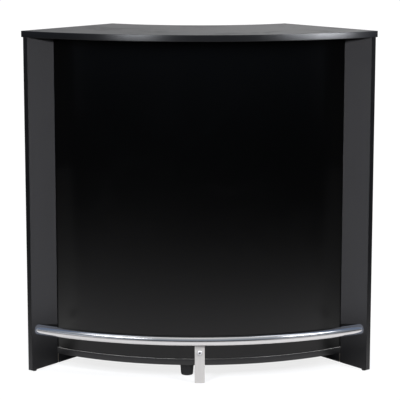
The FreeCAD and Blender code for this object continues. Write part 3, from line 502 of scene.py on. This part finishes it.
def levelBoard(name, node, lip=laminate["noLip"]):
    # a board that lies flat between the heights of its node
    low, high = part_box(node)
    return laminateFinish(name, (0.0, 0.0, 1.0), (low.z + high.z) / 2, (high.z - low.z) / 2, lip)


sidePanel = {"overhang": 0.006, "thickness": 0.016}
# beyond this radius the bottom board's lip takes a near-white colour: bare board plus a painted highlight
bottomLip = {"paleLipBeyond": 0.7552}


def sideBoard(name, sign):
    # a side panel, upright along the end of the ring; across points towards the cabinet's middle
    across = (-sign * endCosine, -endSine, 0.0)
    half = sidePanel["thickness"] / 2
    return laminateFinish(name, across, across[1] * axisY + sidePanel["overhang"] + half, half)


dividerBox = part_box("lower_divider")
boards = {
    "top_panel": levelBoard("topBoard", "top_panel"),
    "bottom_board": levelBoard("bottomBoard", "bottom_board", bottomLip["paleLipBeyond"]),
    "middle_shelf": levelBoard("middleShelf", "middle_shelf"),
    "left_side_panel": sideBoard("leftSide", -1),
    "right_side_panel": sideBoard("rightSide", 1),
    "lower_divider": laminateFinish("divider", (1.0, 0.0, 0.0), 0.0, dividerBox[1].x),
    "left_loose_shelf": levelBoard("looseShelf", "left_loose_shelf"),
}
boards["upper_divider"] = boards["lower_divider"]
boards["right_loose_shelf"] = boards["left_loose_shelf"]
finishes = {
    "black_sheet": sheetFinish(),
    "chrome": chromeFinish(),
    "black_plastic": plasticFinish(),
    "beech": beechFinish(),
}
finishes.update({slot: edgeBandFinish(**row) for slot, row in edgeBands.items()})
finishes.update({slot: metalFinish(**row) for slot, row in metals.items()})
for name, node in nodes.items():
    upright = name.endswith("edge_band") and ("side" in name or "divider" in name)
    slot = "upright_edge" if upright else slotOf[name]
    node.material_slots[0].material = boards.get(name) or finishes[slot]
print("finishes:", len(bpy.data.materials), "materials")


# Mesh helpers

sharpAngle = math.radians(30)


def buildMesh(name, grids, closedRows=False):
    # each grid is rows x columns x 3: columns close on themselves, rows close too or get an end face each
    vertices, faces, start = [], [], 0
    for points in grids:
        rows, columns = points.shape[:2]
        index = start + np.arange(rows * columns).reshape(rows, columns)
        below, above = (index, np.roll(index, -1, 0)) if closedRows else (index[:-1], index[1:])
        quads = np.stack([below, np.roll(below, -1, 1), np.roll(above, -1, 1), above], -1)
        faces += quads.reshape(-1, 4).tolist()
        if not closedRows:
            faces += [index[0].tolist(), index[-1].tolist()]
        vertices.append(points.reshape(-1, 3))
        start += rows * columns
    mesh = bpy.data.meshes.new(name)
    mesh.from_pydata(np.concatenate(vertices).tolist(), [], faces)
    shell = bmesh.new()
    shell.from_mesh(mesh)
    bmesh.ops.recalc_face_normals(shell, faces=shell.faces)
    shell.to_mesh(mesh)
    shell.free()
    mesh.polygons.foreach_set("use_smooth", np.ones(len(mesh.polygons), bool))
    mesh.set_sharp_from_angle(angle=sharpAngle)
    return mesh


def addPiece(name, mesh, body, slotName, *replaced):
    piece = bpy.data.objects.new(name, mesh)
    scene.collection.objects.link(piece)
    mesh.materials.append(finishes[slotName])
    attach(piece, body)
    if replaced:
        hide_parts(*replaced)
    return piece


def endAngle(radius, inset, shift=0.0):
    # angle where an arc, about the axis or a point a shift behind it, meets a line an inset inside
    # the ring's end
    return ring["halfAngle"] - np.arcsin((inset + shift * endSine) / radius)


def onRing(radius, angle, height, shift=0.0):
    # x = r sin a, y = axis + shift - r cos a
    across, ahead = radius * np.sin(angle), axisY + shift - radius * np.cos(angle)
    return np.stack(np.broadcast_arrays(across, ahead, height), -1)


def besideEnd(sign, station, inset, height=0.0):
    # point at a distance from the axis along the ring's end, an inset inside it
    x, y = station * endSine - inset * endCosine, axisY - station * endCosine - inset * endSine
    return (sign * x, y, height)


def ringBand(low, high, face, core, rounding, limits, steps, cornerSteps=5):
    # a rectangle whose two face corners are quarter circles, carried along an arc;
    # near each end the face draws in by a quarter circle too
    turn = np.linspace(0, np.pi / 2, cornerSteps)
    depth = abs(face - core)
    lowArc, highArc = rounding * (1 - np.sin(turn)), rounding * (1 - np.cos(turn))
    below = np.concatenate([[depth], lowArc, highArc, [depth]])
    height = np.concatenate([[low], low + highArc, high - lowArc, [high]])
    first, last = limits(face)
    share = highArc / (face * (last - first))
    along = np.concatenate([share, np.linspace(share[-1], 1 - share[-1], steps)[1:-1], 1 - share[::-1]])
    drawn = np.concatenate([lowArc, np.zeros(steps - 2), lowArc[::-1]])
    radius = face - np.sign(face - core) * np.maximum(below, drawn[:, None])
    first, last = limits(radius)
    return onRing(radius, first + (last - first) * along[:, None], height)


def betweenEnds(inset):
    return lambda radius: (-endAngle(radius, inset), endAngle(radius, inset))


def besideDivider(inset, clear, sign):
    # from the divider's clear distance to the ring's end, on the right or the left
    def limits(radius):
        near, far = np.arcsin(clear / radius), endAngle(radius, inset)
        return (near, far) if sign > 0 else (-far, -near)
    return limits


# Curved edge bands and the front sheet
bandEnds = {"top": 0.0, "sheet": 0.0154, "between": 0.022, "loose": 0.023, "divider": 0.009}
bandSteps = {"whole": 140, "loose": 70}
bands = {
    "top_front_edge_band": {"face": 0.875, "core": 0.873, "rounding": 0.0015, "inset": bandEnds["top"]},
    "top_rear_edge_band": {"face": 0.45, "core": 0.452, "rounding": 0.0015, "inset": bandEnds["top"]},
    "bottom_front_edge_band": {"face": 0.758, "core": 0.757, "rounding": 0.0006},
    "bottom_rear_edge_band": {"face": 0.462, "core": 0.463, "rounding": 0.0006},
    "middle_shelf_edge_band": {"face": 0.462, "core": 0.463, "rounding": 0.0006},
    "front_panel": {"face": 0.755, "core": 0.752, "rounding": 0.0002, "inset": bandEnds["sheet"]},
}
looseBand = {"face": 0.474, "core": 0.475, "rounding": 0.0006}


def addBand(node, band, body, limits, steps):
    low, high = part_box(node)
    grid = ringBand(low.z, high.z, band["face"], band["core"], band["rounding"], limits, steps)
    name = node.replace("_edge_band", "_strip").replace("front_panel", "front_sheet")
    return addPiece(name, buildMesh(name, [grid]), body, slotOf[node], node)


strips = {
    node: addBand(
        node, band, "carcass", betweenEnds(band.get("inset", bandEnds["between"])), bandSteps["whole"]
    )
    for node, band in bands.items()
}
for side, sign in (("left", -1), ("right", 1)):
    limits = besideDivider(bandEnds["loose"], bandEnds["divider"], sign)
    addBand(f"{side}_loose_shelf_edge_band", looseBand, f"{side}_shelf", limits, bandSteps["loose"])
frontSheet = strips["front_panel"]
print("bands: curved strips and the front sheet")

# Foot rail: a tube bent to an arc whose middle lies a shift behind the ring's axis, cut along the side panels
rail = {
    "radius": 0.929, "shift": 0.1, "height": 0.131, "tube": 0.015, "wall": 0.0015, "inset": 0.0222,
    "along": 180, "around": 64,
}


def railSheath(tube):
    # circle of the tube's radius carried along the bend; each line of it ends on the cut
    around = np.linspace(0, 2 * np.pi, rail["around"], endpoint=False)
    radius = rail["radius"] + tube * np.cos(around)
    angle = np.linspace(-1, 1, rail["along"])[:, None] * endAngle(radius, rail["inset"], rail["shift"])
    return onRing(radius, angle, rail["height"] + tube * np.sin(around), rail["shift"])


tubeGrid = np.concatenate([railSheath(rail["tube"]), railSheath(rail["tube"] - rail["wall"])[::-1]])
tubeMesh = buildMesh("foot_rail_tube", [tubeGrid], True)
railTube = addPiece("foot_rail_tube", tubeMesh, "carcass", "chrome", "foot_rail")

# Lug under the rail, behind the post, with its weld
lug = {
    "width": 0.03, "thickness": 0.003, "low": 0.082, "high": 0.1172, "front": -0.211, "corner": 0.004,
    "chamfer": 0.0004,
}
weld = {
    "half": 0.0138, "thick": 0.0019, "ripple": 0.1, "pitch": 0.0026, "back": -0.2073, "height": 0.1162,
    "blunt": 1.02, "taper": 8, "along": 90, "around": 20,
}


def plateRing(width, low, high, corner, y, steps=8):
    # outline of an upright plate: straight sides between four quarter circles
    turn = np.linspace(0, np.pi / 2, steps)
    sweep = np.concatenate([turn + quarterTurn * np.pi / 2 for quarterTurn in range(4)])
    centreX = np.repeat([1, -1, -1, 1], steps) * (width / 2 - corner)
    centreZ = np.repeat([high - corner, high - corner, low + corner, low + corner], steps)
    x, z = centreX + corner * np.cos(sweep), centreZ + corner * np.sin(sweep)
    return np.stack([x, np.full_like(x, y), z], -1)


def lugGrid():
    # the outline carried through the plate, smaller by the chamfer on both faces
    cut, back = lug["chamfer"], lug["front"] + lug["thickness"]
    rows = ((cut, lug["front"]), (0, lug["front"] + cut), (0, back - cut), (cut, back))
    return np.stack([
        plateRing(lug["width"] - 2 * drop, lug["low"] + drop, lug["high"] - drop, lug["corner"], y)
        for drop, y in rows
    ])


def weldGrid():
    # rounded bead along x: its radius ripples and closes to a blunt tip at both ends
    place = np.linspace(-1, 1, weld["along"])[:, None]
    around = np.linspace(0, 2 * np.pi, weld["around"], endpoint=False)
    thick = weld["thick"] * np.sqrt(weld["blunt"] - np.abs(place) ** weld["taper"])
    thick = thick * (1 + weld["ripple"] * np.sin(2 * np.pi * place * weld["half"] / weld["pitch"]))
    y, z = weld["back"] + thick * np.cos(around), weld["height"] + thick * np.sin(around)
    return np.stack(np.broadcast_arrays(place * weld["half"], y, z), -1)


railLug = addPiece("rail_lug", buildMesh("rail_lug", [lugGrid()]), "carcass", "chrome", "foot_rail")
railWeld = addPiece("rail_weld", buildMesh("rail_weld", [weldGrid()]), "carcass", "satin_steel")
print("foot rail: tube, lug and weld")


# Turned pieces

def turnedGrid(radius, height, origin, axes, steps=72):
    # profile of (radius, height) carried round a line:
    # origin + r cos a * first + r sin a * second + h * third
    first, second, third = (np.array(axis, float) for axis in axes)
    turn = np.linspace(0, 2 * np.pi, steps, endpoint=False)
    radius = np.asarray(radius, float)
    radius = radius if radius.ndim == 2 else radius[:, None]
    height = np.asarray(height, float)[:, None, None]
    spread = (radius * np.cos(turn))[..., None] * first + (radius * np.sin(turn))[..., None] * second
    return np.array(origin, float) + spread + height * third


standing = ((1, 0, 0), (0, 1, 0), (0, 0, 1))
facingFront = ((1, 0, 0), (0, 0, 1), (0, -1, 0))
rimSteps = 9


def roundedRim(radius, rounding):
    # quarter circle from the outside down to the end face: radius, and height above that face
    turn = np.linspace(0, np.pi / 2, rimSteps)
    return radius - rounding * (1 - np.cos(turn)), rounding * (1 - np.sin(turn))


centreFoot = {
    "top": 0.021, "bottom": 0.0185, "bevel": 0.0004, "rounding": 0.004, "well": 0.007, "web": 0.008,
    "hole": 0.0021,
}


def footProfile(height):
    # tapered outside, rounded lower rim, then up the well to the screw hole
    hole, top, well, bevel = (centreFoot[key] for key in ("hole", "top", "well", "bevel"))
    rim, rimHeight = roundedRim(centreFoot["bottom"], centreFoot["rounding"])
    wellTop = height - centreFoot["web"]
    radius = np.concatenate([[hole, top - bevel, top], rim, [well, well, hole]])
    heights = np.concatenate([[height, height, height - bevel], rimHeight, [0, wellTop, wellTop]])
    return radius, heights


footLow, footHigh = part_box("centre_foot")
footPlace = ((footLow.x + footHigh.x) / 2, (footLow.y + footHigh.y) / 2, 0.0)
footMesh = buildMesh("centre_foot_cup", [turnedGrid(*footProfile(footHigh.z), footPlace, standing)], True)
addPiece("centre_foot_cup", footMesh, "carcass", "black_plastic", "centre_foot")

glide = {
    "radius": 0.007, "height": 0.005, "rounding": 0.002, "well": 0.0028, "wellTop": 0.0012, "hole": 0.0011,
    "stations": (0.48, 0.855), "inset": 0.014, "steps": 40,
}


def glideProfile():
    # flat-topped button with a rounded lower rim and a well for its nail
    hole, well, wellTop = glide["hole"], glide["well"], glide["wellTop"]
    rim, rimHeight = roundedRim(glide["radius"], glide["rounding"])
    radius = np.concatenate([[hole, glide["radius"]], rim, [well, well, hole]])
    heights = np.concatenate([[glide["height"], glide["height"]], rimHeight, [0, wellTop, wellTop]])
    return radius, heights


glidePlaces = [besideEnd(sign, station, glide["inset"]) for sign in (-1, 1) for station in glide["stations"]]
glideGrids = [turnedGrid(*glideProfile(), place, standing, glide["steps"]) for place in glidePlaces]
glideMesh = buildMesh("glide_buttons", glideGrids, True)
addPiece("glide_buttons", glideMesh, "carcass", "black_plastic", "side_glides")

# the last two entries give the reach and the colour of the painted shade in the socket
screw = {
    "seat": -0.215, "height": 0.094, "head": 0.007, "headHeight": 0.0036, "rounding": 0.0024, "shank": 0.003,
    "tip": 0.014, "tipBevel": 0.0005, "socket": 0.002, "socketDepth": 0.003, "steps": 72,
    "socketShadeReach": (0.0024, 0.0032), "socketShadeColour": (0.012, 0.012, 0.012),
}


def screwGrid():
    # shank, flat underside, domed head, and a socket whose radius follows a hexagon:
    # half width / cos(angle from the flat)
    turn = np.linspace(0, 2 * np.pi, screw["steps"], endpoint=False)
    hexagon = screw["socket"] / np.cos((turn + np.pi / 6) % (np.pi / 3) - np.pi / 6)
    shank, top, tip, bevel = screw["shank"], screw["headHeight"], -screw["tip"], screw["tipBevel"]
    dome, domeDrop = roundedRim(screw["head"], screw["rounding"])
    outside = np.concatenate([[shank - bevel, shank, shank, screw["head"]], dome])
    radius = np.concatenate([np.repeat(outside[:, None], screw["steps"], 1), [hexagon, hexagon]])
    heights = np.concatenate([[tip, tip + bevel, 0, 0], top - domeDrop, [top, top - screw["socketDepth"]]])
    return turnedGrid(radius, heights, (0, screw["seat"], screw["height"]), facingFront, screw["steps"])


def paintedSocketShade(material):
    # painted shade: a dark colour wherever the distance from the screw's line is less than the socket
    # reaches, standing in for the shade inside the socket
    tree = material.node_tree
    shader = next(node for node in tree.nodes if node.type == "BSDF_PRINCIPLED")
    where = next(node for node in tree.nodes if node.type == "TEX_COORD").outputs["Object"]
    aside = calcVector(tree, "SUBTRACT", where, (0.0, 0.0, screw["height"]))
    fromLine = calcVector(tree, "LENGTH", calcVector(tree, "MULTIPLY", aside, (1.0, 0.0, 1.0)))
    plain = shader.inputs["Base Color"].links[0].from_socket
    socketShaded = mixColour(tree, between(tree, fromLine, screw["socketShadeReach"]), tint(screw["socketShadeColour"]), plain)
    feed(tree, shader, "Base Color", socketShaded)
    return material


screwMesh = buildMesh("post_button_screw", [screwGrid()])
postScrew = addPiece("post_button_screw", screwMesh, "carcass", "zinc_steel", "post_screw")
# the screw's finish gets painted shade in its socket
screwMesh.materials[0] = paintedSocketShade(metalFinish(**{**metals["zinc_steel"], "name": "socketScrew"}))
print("turned pieces: foot, glides, screw")

# Floor: white to the eye, with the object's shadow near it. A gloss sees it slightly warm, and fading into
# a dark studio as exp(-rate * distance) beyond a start in front of the sheet, faster on the right
floor = {
    "half": 40.0, "drop": -0.0002, "roughness": 0.9, "seen": 0.85, "bounce": 0.16, "white": 1.06,
    "gloss": 0.7, "glossTint": (1.02, 0.975, 0.93), "shadowNear": 0.24, "near": 0.3, "far": 0.9,
}
fade = {"arc": 0.755, "start": 0.224, "leftRate": 1.53, "rightRate": 2.13, "reach": 1.5}
white = (1.0, 1.0, 1.0)


def floorFinish():
    material, tree, shader, where = newFinish(
        "paleFloor", Roughness=floor["roughness"], Specular_IOR_Level=0.0
    )
    path = addNode(tree, "LightPath").outputs
    fromAxis = calcVector(tree, "LENGTH", calcVector(tree, "SUBTRACT", where, (0.0, axisY, floor["drop"])))
    across = addNode(tree, "SeparateXYZ", {0: where}).outputs["X"]
    rate = mapRange(tree, across, -fade["reach"], fade["reach"], fade["leftRate"], fade["rightRate"])
    away = calc(tree, "MULTIPLY", calc(tree, "SUBTRACT", fade["arc"] + fade["start"], fromAxis), rate)
    faded = calc(tree, "MINIMUM", calc(tree, "EXPONENT", away), 1.0)
    faded = calc(tree, "MULTIPLY", faded, floor["gloss"])
    gloss = calc(tree, "MAXIMUM", path["Is Glossy Ray"], path["Is Transmission Ray"])
    mirrored = mixColour(tree, faded, tint(white, 0.0), tint(floor["glossTint"]))
    level = mixColour(tree, gloss, tint(white, floor["bounce"]), mirrored)
    level = mixColour(tree, path["Is Camera Ray"], level, tint(white, floor["seen"]))
    feed(tree, shader, "Base Color", level)
    distance = calcVector(tree, "LENGTH", where)
    share = mapRange(tree, distance, floor["near"], floor["far"], 1 - floor["shadowNear"], 1.0, "SMOOTHSTEP")
    glow = addNode(tree, "Emission", {"Strength": floor["white"]})
    seen = addNode(tree, "MixShader", {0: calc(tree, "MULTIPLY", share, path["Is Camera Ray"])})
    tree.links.new(shader.outputs[0], seen.inputs[1])
    tree.links.new(glow.outputs[0], seen.inputs[2])
    output = next(node for node in tree.nodes if node.type == "OUTPUT_MATERIAL")
    tree.links.new(seen.outputs[0], output.inputs["Surface"])
    return material


floorCorners = np.array(((-1, -1, 0), (1, -1, 0), (1, 1, 0), (-1, 1, 0))) * floor["half"]
floorCorners = floorCorners + (0, 0, floor["drop"])
floorMesh = bpy.data.meshes.new("floor")
floorMesh.from_pydata(floorCorners.tolist(), [], [(0, 1, 2, 3)])
floorMesh.materials.append(floorFinish())
floorObject = bpy.data.objects.new("floor", floorMesh)
scene.collection.objects.link(floorObject)

# Studio: a pale wall low behind, brighter on the right; elsewhere dim and bluish, darkest at the front
# horizon and light overhead, with a tone of its own on both sides. The ramp gives height, level and how blue
# it is
studio = {
    "wallAcross": (-0.2, 0.1), "wallLevel": (0.25, 1.2), "wallTop": (0.36, 0.6), "turn": (-0.45, -0.05),
    "side": (0.88, 0.97), "sideHeight": (0.02, 0.3),
    "sideFoot": (0.38, 0.38, 0.4), "sideHead": (0.14, 0.18, 0.27),
    "ramp": (
        (0.0, 0.01, 1), (0.06, 0.014, 1), (0.2, 0.19, 1), (0.5, 0.32, 0.7), (0.85, 0.52, 0.2), (1.0, 0.9, 0),
    ),
    "blue": (-0.14, 0.0, 0.22),
}


def studioWorld():
    world = bpy.data.worlds.new("studio")
    world.use_nodes = True
    tree = world.node_tree
    tree.nodes.clear()
    towards = addNode(tree, "TexCoord").outputs["Generated"]
    look = addNode(tree, "SeparateXYZ", {0: towards}).outputs
    flat = calcVector(tree, "NORMALIZE", calcVector(tree, "MULTIPLY", towards, (1.0, 1.0, 0.0)))
    ramp = addNode(tree, "ValToRGB", {0: look["Z"]})
    stops = ramp.color_ramp.elements
    while len(stops) < len(studio["ramp"]):
        stops.new(0.5)
    for stop, (place, strength, blue) in zip(stops, studio["ramp"]):
        stop.position = place
        stop.color = tint([1 + blue * shift for shift in studio["blue"]], strength)
    forward = between(tree, calc(tree, "MULTIPLY", look["Y"], -1.0), studio["turn"], "SMOOTHSTEP")
    above = between(tree, look["Z"], studio["wallTop"], "SMOOTHSTEP")
    wall = mapRange(tree, look["X"], *studio["wallAcross"], *studio["wallLevel"])
    upward = between(tree, look["Z"], studio["sideHeight"], "SMOOTHSTEP")
    side = mixColour(tree, upward, tint(studio["sideFoot"]), tint(studio["sideHead"]))
    aside = calc(tree, "ABSOLUTE", addNode(tree, "SeparateXYZ", {0: flat}).outputs["X"])
    aside = between(tree, aside, studio["side"], "SMOOTHSTEP")
    dim = mixColour(tree, aside, ramp.outputs["Color"], side)
    around = mixColour(tree, calc(tree, "MAXIMUM", forward, above), wall, dim)
    seen = mixColour(tree, addNode(tree, "LightPath").outputs["Is Camera Ray"], around, tint(white))
    background = addNode(tree, "Background", {"Color": seen})
    tree.links.new(background.outputs[0], addNode(tree, "OutputWorld").inputs["Surface"])
    return world


scene.world = studioWorld()

# The rail, its post and their small pieces don't show in a gloss, so the sheet doesn't mirror them
for thing in (railTube, railLug, railWeld, postScrew, nodes["rail_post"], nodes["post_nut"]):
    thing.visible_glossy = False


def lightGroup(name, state, *lit):
    # objects that a lamp is flagged off, or the only ones that it reaches
    group = bpy.data.collections.new(name)
    for thing in lit:
        group.objects.link(thing)
    for member in group.collection_objects:
        member.light_linking.link_state = state
    return group


wings = (nodes["left_side_panel"], nodes["right_side_panel"])
flagged = lightGroup("flagged", "EXCLUDE", frontSheet, nodes["top_panel"], railTube, *wings)
offFloor = lightGroup("offFloor", "EXCLUDE", floorObject)
wingsOnly = lightGroup("wings", "INCLUDE", *wings)
topEdgeOnly = lightGroup("topEdge", "INCLUDE", strips["top_front_edge_band"])
railOnly = lightGroup("rail", "INCLUDE", railTube)
sheetOnly = lightGroup("sheet", "INCLUDE", frontSheet, strips["bottom_front_edge_band"])

# Lamps: two tall soft ones in front, flagged off the sheet, the side panels, the top and the rail; one for
# the top's front edge; a low gridded one for the side panels; strips for the lines along the rail, soft at
# both ends; two behind. "from" is the azimuth from the front and the elevation, "aim" the height aimed at
lampSet = {
    "distance": 3.2, "aimY": -0.1, "railAim": 0.13, "backAim": 0.55, "tint": (0.96, 0.985, 1.05),
    "spread": 180.0, "softPeak": 2.0,
}
frontLamps = {
    "leftLamp": {"from": (-30.0, 35.0), "size": (0.85, 1.5), "watts": 92.0, "aim": 0.55, "lit": flagged},
    "rightLamp": {"from": (51.0, 35.0), "size": (0.95, 1.5), "watts": 95.0, "aim": 0.55, "lit": flagged},
    "edgeLamp": {"from": (62.0, 20.0), "size": (0.9, 1.0), "watts": 150.0, "aim": 1.0, "lit": topEdgeOnly},
    "lowLamp": {
        "from": (0.0, 9.0), "size": (1.6, 1.0), "watts": 8.2, "aim": 0.64, "lit": wingsOnly,
        "distance": 3.6, "spread": 4.0, "mirrored": False,
    },
}
railLamps = {
    "leftStrip": {"from": (-41.0, 38.0), "size": (2.0, 0.35), "watts": 9.0},
    "rightStrip": {"from": (55.0, 36.0), "size": (1.7, 0.4), "watts": 11.0},
    "leftLowStrip": {"from": (-50.0, 4.5), "size": (4.0, 0.6), "watts": 2.6},
    "rightLowStrip": {"from": (46.0, 4.5), "size": (3.0, 0.6), "watts": 1.6},
    "leftHighStrip": {"from": (-72.0, 63.0), "size": (1.1, 1.1), "watts": 2.2},
    "rightHighStrip": {"from": (72.0, 63.0), "size": (1.1, 1.1), "watts": 2.2},
}
for lamp in railLamps.values():
    lamp.update({"aim": lampSet["railAim"], "lit": railOnly})
backLamps = {
    "leftBackLamp": {"from": (-145.0, 35.0), "size": (1.6, 1.2), "watts": 90.0},
    "rightBackLamp": {"from": (140.0, 28.0), "size": (1.2, 1.4), "watts": 90.0},
}
for lamp in backLamps.values():
    lamp.update({"aim": lampSet["backAim"], "lit": offFloor, "mirrored": False})


def addLamp(name, size, watts, colour, place, turn, lit):
    light = bpy.data.lights.new(name, "AREA")
    light.shape = "RECTANGLE"
    light.size, light.size_y = size
    light.energy = watts
    light.color = colour
    lampObject = bpy.data.objects.new(name, light)
    lampObject.location = place
    lampObject.rotation_euler = turn
    lampObject.visible_camera = False
    lampObject.light_linking.receiver_collection = lit
    scene.collection.objects.link(lampObject)
    return lampObject


def lampNodes(light):
    # a lamp's own nodes, with the place on its face: X across and Y up, each from 0 to 1
    light.use_nodes = True
    tree = light.node_tree
    return tree, addNode(tree, "SeparateXYZ", {0: addNode(tree, "NewGeometry").outputs["Parametric"]}).outputs


def softenEnds(light):
    # brightest across its middle, fading to both ends
    tree, place = lampNodes(light)
    middle = 0.5
    fromMiddle = calc(tree, "ABSOLUTE", calc(tree, "SUBTRACT", place["X"], middle))
    strength = mapRange(tree, fromMiddle, 0.0, middle, lampSet["softPeak"], 0.0, "SMOOTHSTEP")
    feed(tree, tree.nodes["Emission"], "Strength", strength)


for name, lamp in {**frontLamps, **railLamps, **backLamps}.items():
    azimuth, elevation = (math.radians(angle) for angle in lamp["from"])
    level = math.cos(elevation)
    towards = np.array((math.sin(azimuth) * level, -math.cos(azimuth) * level, math.sin(elevation)))
    aim = np.array((0.0, lampSet["aimY"], lamp["aim"]))
    place = aim + towards * lamp.get("distance", lampSet["distance"])
    turn = (math.pi / 2 - elevation, 0.0, azimuth)
    lampObject = addLamp(name, lamp["size"], lamp["watts"], lampSet["tint"], place, turn, lamp["lit"])
    lampObject.data.spread = math.radians(lamp.get("spread", lampSet["spread"]))
    lampObject.visible_glossy = lamp.get("mirrored", True)
    if name in railLamps:
        softenEnds(lampObject.data)

# Tall lamps close to the side panels' inner faces. The sheet and the strip below it mirror one pair, where
# they would mirror the black panels, and the dimmer pair lights the rail's ends; all fade upwards as
# exp(-rate * height), and towards the foot
card = {
    "near": 0.757, "far": 0.874, "inset": 0.0235, "height": 0.62, "rate": 6.3,
    "foot": (0.03, 0.1), "footShare": 0.05, "railTint": (0.8, 0.9, 1.15),
}
cards = {
    "leftCard": {"sign": -1, "watts": 0.4, "tint": white, "lit": sheetOnly},
    "rightCard": {"sign": 1, "watts": 0.25, "tint": white, "lit": sheetOnly},
    "leftRailCard": {"sign": -1, "watts": 0.065, "tint": card["railTint"], "lit": railOnly},
    "rightRailCard": {"sign": 1, "watts": 0.065, "tint": card["railTint"], "lit": railOnly},
}


def fadeUpwards(light):
    tree, place = lampNodes(light)
    height = calc(tree, "MULTIPLY", place["Y"], card["height"])
    faded = calc(tree, "EXPONENT", calc(tree, "MULTIPLY", height, -card["rate"]))
    foot = mapRange(tree, height, *card["foot"], card["footShare"], 1.0)
    feed(tree, tree.nodes["Emission"], "Strength", calc(tree, "MULTIPLY", faded, foot))


for name, lamp in cards.items():
    place = besideEnd(lamp["sign"], (card["near"] + card["far"]) / 2, card["inset"], card["height"] / 2)
    turn = (math.pi / 2, 0.0, math.atan2(lamp["sign"] * endCosine, -endSine))
    size = (card["far"] - card["near"], card["height"])
    fadeUpwards(addLamp(name, size, lamp["watts"], lamp["tint"], place, turn, lamp["lit"]).data)

# Camera at the photograph's viewing angle; it has no shift, so upright lines converge slightly
camera = {"place": (-0.043, -5.085, 1.402), "turn": (80.186, -0.045, -0.503), "lens": 150.74}
cameraData = bpy.data.cameras.new("camera")
cameraData.lens = camera["lens"]
cameraObject = bpy.data.objects.new("camera", cameraData)
cameraObject.location = camera["place"]
cameraObject.rotation_euler = [math.radians(turn) for turn in camera["turn"]]
scene.collection.objects.link(cameraObject)
scene.camera = cameraObject
print("stage: floor, studio, lamps, camera")
